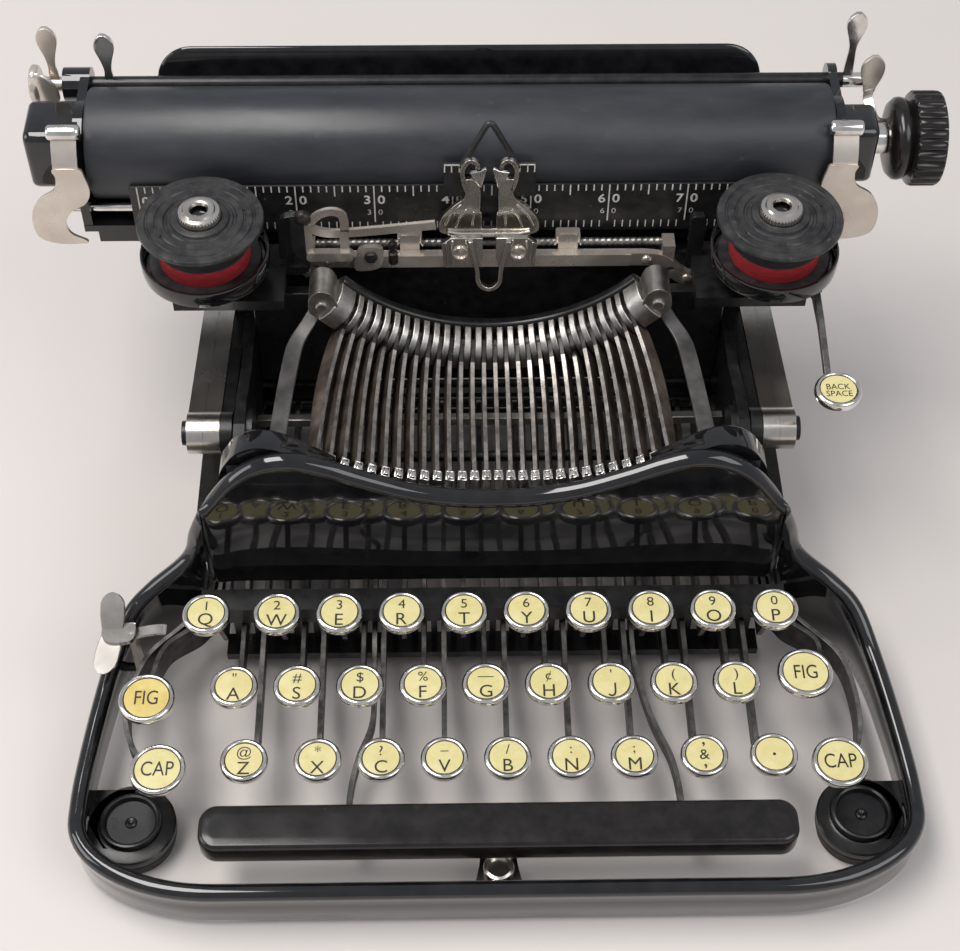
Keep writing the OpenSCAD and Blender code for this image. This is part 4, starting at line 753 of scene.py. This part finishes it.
RED_PACK = [(14.2, 1.3), (14.5, 2.0), (14.5, 7.6)]
BLACK_PACK = [(14.5, 7.6), (14.35, 8.0), (14.5, 8.4), (14.5, 15.0), (14.2, 15.8)]
WINDOW_R = 14.2
cups = Shape()
for side in SIDES:
    cups.lathe(CUP, (side * SPOOL_X, SPOOL_Y, CUP_Z), n=64)
cups.make("cups", "fold", "black_enamel", [ENAMEL], ("ribbon_cups",))
for name, x in (("spool_left", -SPOOL_X), ("spool_right", SPOOL_X)):
    low, top = (x, SPOOL_Y, SPOOL_LOW), (x, SPOOL_Y, SPOOL_TOP)
    flanges = Shape()
    flanges.lathe(LOW_FLANGE, low, n=72)
    flanges.lathe(TOP_FLANGE, top, n=72)
    flanges.lathe(WASHER, top, n=64)
    # Two dark ovals on the top flange stand for its windows: painted shade, not openings
    for turn in (25, 205):
        c, s = math.cos(math.radians(turn)), math.sin(math.radians(turn))
        window_shade = [(x + WINDOW_R * c - u * s - v * c, SPOOL_Y + WINDOW_R * s + u * c - v * s)
                  for u, v in circle(0, 0, 1.0, 24, 2.3)]
        flanges.plate([window_shade], SPOOL_TOP - 0.3, SPOOL_TOP + 0.04, "xy", 1)
    flanges.make(name + "_flanges", name, "spool_black", [SPOOL, INK_AND_SHADE], (name,), smooth=30)
    for end, profile, colour in (("_ribbon_low", RED_PACK, RED), ("_ribbon_top", BLACK_PACK, DARK_RIBBON)):
        pack = Shape()
        pack.lathe(profile, low, n=64)
        pack.make(name + end, name, "spool_black", [colour])
    nut = Shape()
    nut.lathe(NUT, top, n=160, ribs=(40, 0.3, 0.2, 3.0))
    nut.make(name + "_nut", name, "nickel", [NICKEL])

# Platen with its axle, knob with its collar
PLATEN_X, PLATEN_Y, PLATEN_Z, PLATEN_R, PLATEN_L = -129, 224, 112, 18, 240
KNOB_X = 133
roll = Shape()
roll.lathe([(0, 0), (17, 0), (17.7, 0.3), (PLATEN_R, 1), (PLATEN_R, PLATEN_L - 1), (17.7, PLATEN_L - 0.3),
            (17, PLATEN_L), (0, PLATEN_L)], (PLATEN_X, PLATEN_Y, PLATEN_Z), "x", 72)
roll.make("platen_roll", "platen", "platen_rubber", [RUBBER], ("platen",))
axle = Shape()
for x, profile in ((-145, [(0, 0), (2.6, 0), (3, 0.5), (3, 16)]), (111, [(3, 0), (3, 24), (0, 24)]),
                   (125.6, [(3, 0), (4.6, 0), (5, 0.5), (5, 4.6), (4.6, 5.1), (3, 5.1)])):
    axle.lathe(profile, (x, PLATEN_Y, PLATEN_Z), "x", 32)
axle.make("platen_axle", "platen", "nickel", [CHROME])
knob = Shape()
knob.lathe([(3.1, -2.4), (8.4, -2.3), (11.8, -1.4), (13.3, 0.2), (13.5, 1.6), (13.2, 3), (12.2, 4.3),
            (12, 4.8), (13.6, 5), (14.9, 5.3), (15.5, 6), (15.5, 10), (15.5, 13.6), (15, 14.6), (14, 15),
            (10.5, 15), (10, 14.5), (5.6, 14.3), (5.2, 14.7), (0, 14.8)], (KNOB_X, PLATEN_Y, PLATEN_Z),
           "x", 216, ribs=(24, 1.3, 5.5, 14))
knob.make("knob", "platen", "black_plastic", [PLASTIC], ("platen_knob",), smooth=50)

# Paper scale with its marks, in pica spacing
PICA, ZERO, MARK_COUNT = 2.54, -113.4, 83
MARK_FRONT, MARK_BACK, MARK_TOP = 204.9, 205.05, 109.7
DIGIT_Y, DIGIT_OFF = 204.93, 2.3
ruler = Shape()
ruler.plate([round_box(-116, 98, 89.9, 110, 0.8, 3)], 205, 205.8)
ruler.make("scale_bar", "carriage", "scale_black", [SCALE], ("paper_scale",), bevel=0.2)
marks = Shape()
for k in range(MARK_COUNT):
    x = ZERO + PICA * k
    h = 15.5 if k % 10 == 0 else 4.2 if k % 5 == 0 else 2.4
    marks.box(x - 0.22, x + 0.22, MARK_FRONT, MARK_BACK, MARK_TOP - h, MARK_TOP)
    if k % 10:
        marks.box(x - 0.18, x + 0.18, MARK_FRONT, MARK_BACK, 91.4, 94.2)
        continue
    for n, digit in enumerate(str(k)):
        off = (-DIGIT_OFF, DIGIT_OFF)[n] if k else DIGIT_OFF
        letter(marks, digit, 5.0, lambda u, v: (x + off + u, DIGIT_Y, 102.2 + v), -0.02)
        letter(marks, digit, 3.2, lambda u, v: (x + off * 0.8 + u, DIGIT_Y, 97.4 + v), 0.01)
marks.make("scale_marks", "carriage", "scale_black", [WHITE])

# Paper table: a thin leaning plate with rounded corners and soft edges
TABLE_X, TABLE_Y, TABLE_Z, TABLE_L, TABLE_H = -9, 243, 89.9, 202, 39
TABLE_LEAN = math.radians(16)
# Rings from the back's middle over the edge to the front's: share of length, share of height, depth
TABLE_RINGS = ((0.2, 0.2, 1.45), (0.9, 0.8, 1.45), (0.985, 0.955, 1.5), (0.997, 0.99, 1.3), (1, 1, 0.8),
               (0.998, 0.99, 0.25), (0.985, 0.955, 0.02), (0.9, 0.8, 0.0), (0.2, 0.2, 0.0))


def table_point(u, w, back):
    s, c = math.sin(TABLE_LEAN), math.cos(TABLE_LEAN)
    return (u + TABLE_X, TABLE_Y + w * s + back * c, TABLE_Z + w * c - back * s)


outline = round_box(-TABLE_L / 2, TABLE_L / 2, 0, TABLE_H, 12, 10)
table = Shape()
table.loft([[table_point(u * k, TABLE_H / 2 + (w - TABLE_H / 2) * q, b) for u, w in outline]
            for k, q, b in TABLE_RINGS])
table.make("paper_table_plate", "carriage", "black_enamel", [ENAMEL], ("paper_table",), smooth=60)

# Lugs at the ends of the segment, each with a clamp screw
LUG = curve([(49, 80), (50.4, 89), (54.5, 91.4), (58, 88.6), (58.4, 82), (54, 78.6)], 5, True)
ends = Shape()
for side in SIDES:
    ends.plate([sided(side, LUG)], 175.5, 187)
    ends.lathe([(0, -1.2), (1.6, -1.2), (2.1, -0.8), (2.2, 0.3)], (side * 54.2, 175.6, 85), "y", 24)
ends.make("segment_lugs", "base", "dull_nickel", [DULL], bevel=1.2)

# Flat bar that crosses under the typebars, with a washer at each end
rest = Shape()
rest.box(-77, 77, 156, 158.8, 48, 51.4)
for side in SIDES:
    rest.lathe([(0, -0.6), (2.2, -0.6), (2.6, -0.2), (2.6, 0.5)], (side * 70, 156, 49.7), "y", 24)
rest.make("rest_bar", "base", "dull_nickel", [DULL], bevel=0.4)

# Ribbon vibrator: two necks with curled hooks and bright hearts on a winged plate
FORK_Y = 201
VIBRATOR = [(2.4, 95.2), (2.5, 98.7), (2.4, 102.2), (3.0, 103.4), (2.9, 111.6), (3.6, 114.4), (5.6, 116.4),
            (7.9, 116.2), (7.6, 114.2), (7.7, 110.7), (8.5, 108.1), (11.5, 105.1), (14.8, 101.2), (16.3, 97),
            (15.6, 93.6), (12, 92.6)]
HOOK = [(7.2, 111.5), (8.3, 116), (8.6, 119.8), (7.6, 122.9), (5.8, 123.9), (4.1, 122.7), (3.8, 120.9)]
HEART = [(2.7, 113.3), (0.9, 121.0), (1.4, 121.6), (3.0, 120.5), (6.3, 119.9), (5.0, 116.6)]
FORK_RIDGES = ([(9, 106), (12.4, 101.6), (14.4, 97)], [(7.2, 104), (9.6, 100.4), (10.8, 96.2)],
               [(5, 103), (5.4, 97)])


def ridges(shape, side, y, paths):
    """Thin raised lines on the front of a plate."""
    for path in paths:
        shape.tube([(side * u, y, v) for u, v in curve(path, 4)], 0.45, 8)


fork, hearts = Shape(), Shape()
fork.plate([whole(curve(VIBRATOR, 3))], FORK_Y - 0.9, FORK_Y + 0.9)
for side in SIDES:
    fork.band([(side * u, FORK_Y, v) for u, v in curve(HOOK, 5)], 1.8, 1.4, (0, 1, 0))
    ridges(fork, side, 200.05, FORK_RIDGES)
    hearts.plate([sided(side, HEART)], 199.5, 200.6)
fork.tube([(-13.4, 199.7, 94.2), (-10, 199.3, 93.6), (10, 199.3, 93.6), (13.4, 199.7, 94.2)], 0.95, 12)
fork.make("vibrator_fork", "ribbon_vibrator", "nickel", [NICKEL], ("ribbon_vibrator",), bevel=0.3)
hearts.make("vibrator_hearts", "ribbon_vibrator", "nickel", [CHROME], bevel=0.2)

# Type guide on the front rail: slotted plate with two screws and a channelled tongue
TONGUE_Y = 192.6
WING = [(2.2, 97.5), (12.5, 97.5), (15.6, 95), (15.1, 90), (14.8, 84.6), (4.4, 84.6), (2.2, 88)]
TONGUE_SIDE = [(6.2, 97.2), (4.9, 90), (3.9, 84), (3.7, 79.6), (2.7, 77)]
TONGUE_TIP = [(-2.9, 77.4), (-1.6, 76), (0, 75.5), (1.6, 76), (2.9, 77.4)]
WING_RIDGES = ([(14.2, 96), (13.6, 86)], [(11.9, 96.6), (12.6, 93.6), (12.5, 86)],
               [(7.6, 97), (6.2, 91), (5.3, 85.6)])
GUIDE_SCREW = [(0, -0.3), (0.9, -0.2), (1.9, 0.1), (2.2, -0.5), (2.6, -0.6), (2.8, -0.2), (2.8, 0.6)]
guide, guide_screws = Shape(), Shape()
for side in SIDES:
    guide.plate([sided(side, WING)], 193.2, 195)
    guide.band([(side * u, TONGUE_Y, v) for u, v in curve(TONGUE_SIDE, 5)], 1.9, 1.5, (0, 1, 0))
    ridges(guide, side, 193.1, WING_RIDGES)
    guide_screws.lathe(GUIDE_SCREW, (side * 9.4, 193, 91.4), "y", 32)
guide.band([(u, TONGUE_Y, v) for u, v in TONGUE_TIP], 1.9, 1.6, (0, 1, 0))
guide.make("type_guide", "fold", "nickel", [NICKEL], bevel=0.2)
guide_screws.make("type_guide_screws", "fold", "nickel", [PALE])

# Card holder: two dark posts with marked plates and a bent wire over them
POST = [(5, 90.5), (9, 90.5), (9, 107.5), (14.6, 107.5), (14.6, 121), (6.4, 121), (5, 117)]
WIRE = [(-9.4, 119.5), (-5, 128.2), (-1.2, 136), (0, 136.9), (1.2, 136), (5, 128.2), (9.4, 119.5)]
WIRE_Y, WIRE_R = 202.95, 1.0
holder, marks = Shape(), Shape()
for side in SIDES:
    holder.plate([sided(side, POST)], 202.3, 203.3)
    for u in (9.6, 12.1, 14.3):
        marks.box(side * u - 0.2, side * u + 0.2, 202.15, 202.35, 117.8, 120.9)
    marks.box(side * 9.4, side * 14.5, 202.15, 202.35, 120.6, 121)
holder.tube(curve([(u, WIRE_Y, v) for u, v in WIRE], 4), WIRE_R, 12)
holder.make("card_holder", "fold", "scale_black", [SCALE], ("aligning_scale",), bevel=0.2)
marks.make("card_marks", "fold", "scale_black", [WHITE])

# Front rail with its bent ends, grooved margin rack and stops
RAIL_SCREWS = ((-60.4, 81.4), (-52, 85.6), (66, 76.9), (52, 85.6))
RAIL_ENDS = (([(45, 85.6), (52, 85.6), (57, 84.4), (60.5, 81), (64, 77.6), (68, 76.4)], (60.4, 81.2)),
             ([(-45, 85.6), (-52, 85.6), (-57, 83.6), (-62, 80.6)], (-57.4, 83.4)))
RACK_R, RACK_HALF = 1.5, 60
STOP_X = 26
rails = Shape()
rails.plate([round_box(-47, 47, 83, 88, 0.8, 3)], 195, 198)
for path, hole in RAIL_ENDS:
    rails.plate([ribbon(curve(path, 6), 2.7), circle(*hole, 0.9, 20, 1.6)], 195.2, 197.6)
for side in SIDES:
    rails.box(side * 57, side * 61, 195.4, 201.6, 84, 91.3)
for x, z in RAIL_SCREWS:
    rails.lathe([(0, -0.9), (0.9, -0.85), (1.5, -0.5), (1.7, 0.2)], (x, 195.1, z), "y", 20)
rails.make("rail_strip", "fold", "nickel", [PALE], ("front_rail",), bevel=0.3)
rack = Shape()
rack.lathe([(RACK_R - 0.25 * (k % 2), k - RACK_HALF) for k in range(2 * RACK_HALF + 1)],
           (0, 200.6, 88.8), "x", 14)
rack.make("margin_rack", "fold", "dull_nickel", [STEEL_AND_EDGE_HIGHLIGHT], smooth=20)
for x, name in ((-STOP_X, "margin_stop_left"), (STOP_X, "margin_stop_right")):
    stop = Shape()
    stop.plate([round_box(x - 4, x + 4, 198.3, 203.2, 0.8, 4)], 90.6, 92.8, "xy")
    stop.plate([round_box(x - 3.2, x + 3.2, 86.6, 94.6, 0.9, 4)], 198.05, 198.95)
    stop.plate([round_box(x - 4, x + 4, 86.4, 92.6, 0.9, 4), circle(x, 89.3, 1.0, 16)], 202.2, 203.2)
    for end in SIDES:
        wire = ((2.6, 198.9, 90.8), (3.6, 198.7, 90.5), (4.4, 198.5, 89.4))
        stop.tube([(x + end * u, y, z) for u, y, z in wire], 0.3, 8)
    stop.make(name + "_tab", name, "nickel", [PALE], (name,), bevel=0.25)

# Bell crank and its bracket at the left of the front rail, post at the right
BRACKET = [(-67.4, 106.4), (-64, 108.2), (-61, 108.4), (-59.3, 106.6), (-59, 97), (-59.2, 84), (-67.6, 84),
           (-68, 97)]
CRANK_ARM = [(-58, 103.4), (-54, 101.4), (-48.3, 100.8), (-36.5, 101.9), (-24, 103.4), (-17.4, 104.2)]
CRANK_LOOP = [(-58, 105), (-54.5, 108.8), (-50.5, 110.2), (-47.4, 109), (-46.5, 105.5), (-46.8, 101)]
CRANK_FOOT = [(-41.8, 93.2), (-35.4, 93.2), (-34.6, 88.6), (-36.6, 84.2), (-43.4, 83.4), (-44, 87.4)]
plate = Shape()
for shape in (curve(BRACKET, 4, True), round_box(64.4, 69.6, 84, 107, 1.6, 4)):
    plate.plate([shape], 192.4, 195)
plate.make("crank_plate", "fold", "black_enamel", [ENAMEL], bevel=0.5)
crank = Shape()
for path, half in ((CRANK_ARM, 1.6), (CRANK_LOOP, 1.4)):
    crank.plate([ribbon(curve(path, 6), half)], 192.2, 193.4)
for x0, x1, z0, z1 in ((-59.4, -57, 90.6, 105), (-48.3, -45.4, 91, 102)):
    crank.plate([round_box(x0, x1, z0, z1, 0.6, 3)], 192.0, 193.4)
crank.plate([round_box(-59.4, -44.2, 89.8, 93.4, 1.5, 4)], 191.0, 193.6)
crank.plate([curve(CRANK_FOOT, 4, True)], 193.2, 195)
crank.make("bell_crank", "fold", "nickel", [PALE], bevel=0.3)
screws = Shape()
screws.lathe([(0, -1.5), (1.6, -1.3), (2.5, -0.5), (2.7, 0.3), (2.7, 1.2)], (-59.6, 192.3, 107.4), "y", 28)
screws.lathe([(0, -1.1), (2.0, -1.1), (2.3, -0.7), (2.3, 0.5)], (-38.6, 193.2, 89.6), "y", 6)
screws.lathe([(0, 9), (1.2, 8.7), (1.5, 8.2), (1.5, 6), (1.0, 5.6), (1.0, 4.6), (1.6, 4.2), (1.6, 0)],
             (-31.4, 194.6, 86), "z", 40, ribs=(14, 0.3, 5.9, 8.3))
screws.make("crank_screws", "fold", "lever_steel", [LEVER])

# Paper fingers: S shaped plates bent back to their rollers, on one rod
FINGER_PIN_Y, FINGER_Z = 208.8, 98
FINGER = curve([(-9, -8), (-3, -11.3), (5.6, -11.4), (6.6, -10.2), (2, -7), (1, -2), (4, 3), (8.6, 6),
                (10.8, 11), (10, 17.6), (8.5, 20.5), (0.5, 20.5), (0.8, 17), (-0.6, 12), (-6, 8), (-9.5, 1)],
               5, True)
FINGER_NECK = ((204.15, 117), (204.7, 119.6), (206.8, 123), (209.6, 126.2))
ROLLER = [(0, -5.2), (1.9, -5.2), (2.4, -4.7), (2.5, -4), (2.5, 4), (2.4, 4.7), (1.9, 5.2), (0, 5.2)]
fingers, rollers = Shape(), Shape()
for x, side in ((-139, 1), (118, -1)):
    fingers.plate([[(x + side * u, FINGER_Z + v) for u, v in FINGER]], 203.6, 204.7)
    middle = x + side * 4.5
    fingers.band(curve([(middle, y, z) for y, z in FINGER_NECK], 5), 8, 1.1)
    fingers.box(x - 3, x + 1, 204.2, FINGER_PIN_Y, FINGER_Z - 2, FINGER_Z + 2)
    rollers.lathe(ROLLER, (middle, 210.63, 127.93), "x", 32)
fingers.make("finger_plates", "paper_fingers", "nickel", [PALE], ("paper_fingers",), bevel=0.3)
rollers.lathe([(0, -142), (1.3, -142), (1.5, -141.6), (1.5, 118.6), (1.3, 119), (0, 119)],
              (0, FINGER_PIN_Y, FINGER_Z), "x", 20)
rollers.make("finger_rollers", "paper_fingers", "nickel", [CHROME])

# Rounded covers over the ends of the carriage
COVER_FRONT, COVER_LOW, COVER_TOP, COVER_R = 211.6, 102.6, 125.4, 3.4
# Rounding towards a cover's tip: distance from it and inset
COVER_STEPS = ((2.6, 0), (1.3, 0.25), (0.4, 0.9), (0, 2.2))
covers = Shape()
for base, tip, back in ((-131.4, -148.6, 231.4), (111.6, 125.4, 227.4)):
    out = 1 if tip > base else -1
    rings = []
    for x, o in [(base, 0)] + [(tip - out * d, o) for d, o in COVER_STEPS]:
        edge = round_box(COVER_FRONT + o, back - o, COVER_LOW + o, COVER_TOP - o, COVER_R - o, 6)
        rings.append([(x, *p) for p in edge])
    y, z = (COVER_FRONT + back) / 2, (COVER_LOW + COVER_TOP) / 2
    rings.append([(tip, lerp(y, p[1], 0.12), lerp(z, p[2], 0.12)) for p in rings[-1]])
    covers.loft(rings, caps=False)
covers.make("end_covers", "carriage", "black_enamel", [ENAMEL], smooth=50)

# Line space lever and paper release with their leaf tabs
RELEASE_Y, RELEASE_Z = 243, 121


def leaf(shape, x, stem, w, l):
    """Upright leaf of width w and length l on a stem."""
    half = curve([(1.7, 0), (1.4, stem * 0.6), (1.2, stem), (1.8, stem + l * 0.25), (w / 2, stem + l * 0.62),
                  (w * 0.42, stem + l * 0.84), (0.9, stem + l * 0.985)], 5)
    shape.plate([whole(half, x, RELEASE_Z)], RELEASE_Y - 0.8, RELEASE_Y + 0.8)


# Rings of the thumb piece from its back to its crowned front: share of its outline and y
OVAL_RINGS = ((0.1, 239.9), (0.9, 239.9), (1, 239.5), (1, 238.8), (0.93, 238.3), (0.6, 238), (0.1, 237.9))
OVAL_X, OVAL_Z = -145.2, 121.5
spacer = Shape()
leaf(spacer, -142, 8, 6.5, 15)
spacer.lathe([(0, 0), (5.4, 0), (6.3, 0.5), (6.5, 1.2), (6.3, 2.4), (5.6, 3), (2.5, 3), (2.5, 15)],
             (-150, RELEASE_Y, RELEASE_Z), "x", 40)
oval = [(4.18 * u - 2.28 * v, 1.36 * u + 7.03 * v) for u, v in circle(0, 0, 1, 40)]
spacer.loft([[(OVAL_X + u * s, y, OVAL_Z + v * s) for u, v in oval] for s, y in OVAL_RINGS])
spacer.tube([(-146.1, 239.4, RELEASE_Z), (-146.1, RELEASE_Y, RELEASE_Z)], 2.2, 20)
spacer.make("line_space_tab", "line_space_lever", "nickel", [PALE], ("line_space_lever",), bevel=0.3)
shaft, leaves = Shape(), Shape()
shaft.lathe([(0, -133.4), (2.5, -133.4), (2.5, 117.6), (0, 117.6)], (0, RELEASE_Y, RELEASE_Z), "x", 28)
shaft.make("release_shaft", "paper_release", "black_enamel", [PAINT], ("paper_release",))
leaf(leaves, -124, 6, 6.5, 14)
leaf(leaves, 119, 13, 6.5, 14)
leaves.lathe([(2.5, 0), (2.5, 6.6), (2.2, 7.2), (0, 7.2)], (117.6, RELEASE_Y, RELEASE_Z), "x", 28)
leaves.make("release_leaves", "paper_release", "nickel", [CHROME], bevel=0.35)

# Elbow lever with a broad leaf at the right end of the carriage
ELBOW_X = 125.3
BROAD_LEAF = curve([(1.9, 0), (2.2, 2), (3.7, 7), (3.5, 11.4), (0.9, 14.4)], 5)
ELBOW = [(ELBOW_X, 236.4, 122.6), (ELBOW_X, 235.2, 120), (126, 231.8, 117.6), (127.2, 229.9, 115.4),
         (129.6, 229.9, 114)]
elbow = Shape()
elbow.plate([whole(BROAD_LEAF, ELBOW_X, 121.6)], 235.8, 237)
elbow.band(curve(ELBOW, 5), 3.4, 1.3, (1, 0, 0.4))
elbow.make("elbow_lever", "carriage", "nickel", [PALE], bevel=0.25)

# Back space key on its slender lever
BACK_X, BACK_Y, BACK_Z = 103.8, 175.5, 92.5
BACK = [(BACK_Y, 95), (160, 93.4), (142, 89.8), (133.4, 88.2), (130.4, 88), (130.4, 86.4), (142, 87.4),
        (160, 90.6), (BACK_Y, 90)]
back_lever = Shape()
# The lever's edges are in material 1: a painted highlight
back_lever.plate([BACK], BACK_X - 1, BACK_X + 1, "yz", 0, 1)
hub(back_lever, 2.05, 4, 1, (BACK_X, BACK_Y, BACK_Z))
back_lever.make("back_space_lever", "backspace_key", "lever_steel", [TYPE_SIDE, STEEL_AND_EDGE_HIGHLIGHT], bevel=0.2)
BACK_LINES = [("BACK", 3.2, 0.2, 0.9), ("SPACE", 3.2, 3.0, 0.9)]
key_top("back_space", "backspace_key", (105.6, 132.3, 92), KEY_D, BACK_LINES, hides=("backspace_key",))

# Shift lock: lever on its pin with a two lobed thumb tab and a catch
LOCK_LEVER = [(80.1, 15), (81.3, 12), (84, 11), (86.7, 12), (87.9, 15), (86.8, 19), (86.5, 34), (86.5, 35.5),
              (81.5, 35.5), (81.5, 34), (81.2, 19)]
LOCK_TOP = [(-112.3, 81), (-112.2, 86.6), (-116, 86.8), (-120.6, 86.6), (-122.3, 83.6), (-120.6, 80.2),
            (-116, 79.6)]
LOBE = curve([(-3.3, 0), (-3.9, 5), (-3.3, 9.8), (0, 12), (3.3, 9.8), (3.9, 5), (3.3, 0)], 5)
LOBE_X = -119
CATCH = [(-112.6, 84, 31), (-111.6, 84.2, 33.4), (-109, 84.6, 34.2), (-104.6, 85.2, 34.2),
         (-102.8, 85.6, 33.4)]
lock = Shape()
lock.plate([curve(LOCK_LEVER, 3, True), circle(LOCK_Y, LOCK_Z, 1.6, 20)], -113.69, -112.09, "yz")
lock.plate([curve(LOCK_TOP, 5, True)], 34, 35.6, "xy")
for y, z, turn, aside in ((85, 34.4, 38, 0), (82.6, 35.2, 210, -0.22)):
    c, s = math.cos(math.radians(turn)), math.sin(math.radians(turn))
    lock.loft([[(LOBE_X + u * k + v * aside, y + v * c - w * s, z + v * s + w * c) for u, v in LOBE]
               for k, w in ((0.92, -0.4), (1, -0.1), (1, 0.9), (0.92, 1.2))])
lock.band(curve(CATCH, 4), 3.4, 1.1, (0, 1, 0))
lock.make("shift_lock_tab", "shift_lock", "nickel", [NICKEL], ("shift_lock",), bevel=0.2)

# CAD nodes that stay: materials and softened edges
FINISH = {"mechanism_frame": PAINT, "lever_comb": PAINT, "fold_arms": NICKEL, "carriage_bed": PAINT,
          "carriage_rail": LEVER, "carriage_frame": ENAMEL}
for node, finish in FINISH.items():
    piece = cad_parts[node]
    piece.data.materials.clear()
    piece.data.materials.append(finish)
    soften(piece, 0.35)

# Floor, in metres
FLOOR_HALF = 6
floor_mat = surface("floor", (0.60, 0.56, 0.535), (0.64, 0.60, 0.575), (0.45, 0.6), grain=3, bump=(60, 0.01),
                    specular=0.3)
floor = bpy.data.meshes.new("floor")
floor.from_pydata([(FLOOR_HALF * u, FLOOR_HALF * v, 0) for u, v in ((-1, -1), (1, -1), (1, 1), (-1, 1))], [],
                  [[0, 1, 2, 3]])
floor.materials.append(floor_mat)
floor_piece = bpy.data.objects.new("floor", floor)
scene.collection.objects.link(floor_piece)


# Light, in metres and watts
def lamp(name, place, target, size, power, colour=(1, 1, 1)):
    data = bpy.data.lights.new(name, "AREA")
    data.shape = "RECTANGLE"
    data.size, data.size_y = size
    data.energy = power
    data.color = colour
    ob = bpy.data.objects.new(name, data)
    ob.location = place
    ob.rotation_euler = (Vector(target) - Vector(place)).to_track_quat("-Z", "Y").to_euler()
    scene.collection.objects.link(ob)


lamp("key_light", (-0.5, -0.05, 1.4), (0, 0, 0.05), (1.1, 0.5), 17, (1, 0.97, 0.94))
lamp("fill_light", (0.9, -0.6, 1.2), (0, 0, 0.05), (0.9, 0.9), 7)
lamp("side_light", (-1.3, -0.2, 0.7), (0, 0, 0.08), (0.7, 0.7), 5)
world = bpy.data.worlds.new("studio")
world.use_nodes = True
world.node_tree.nodes["Background"].inputs["Color"].default_value = (0.9, 0.93, 1.0, 1)
world.node_tree.nodes["Background"].inputs["Strength"].default_value = 0.45
scene.world = world

# Camera at the photo's place: focal length and width in the photo's pixels, turns in degrees
FOCAL_PX, PHOTO_PX, SENSOR = 1812.08, 960, 36
EYE, EYE_TURN = (-13.137, -233.926, 505.669), (38.859, -0.383, -0.984)
eye = bpy.data.cameras.new("camera")
eye.sensor_width = SENSOR
eye.lens = FOCAL_PX / PHOTO_PX * SENSOR
eye.clip_start = 0.01
camera = bpy.data.objects.new("camera", eye)
camera.location = at(*EYE)
camera.rotation_euler = [math.radians(a) for a in EYE_TURN]
scene.collection.objects.link(camera)
scene.camera = camera
scene.view_settings.view_transform = "Standard"
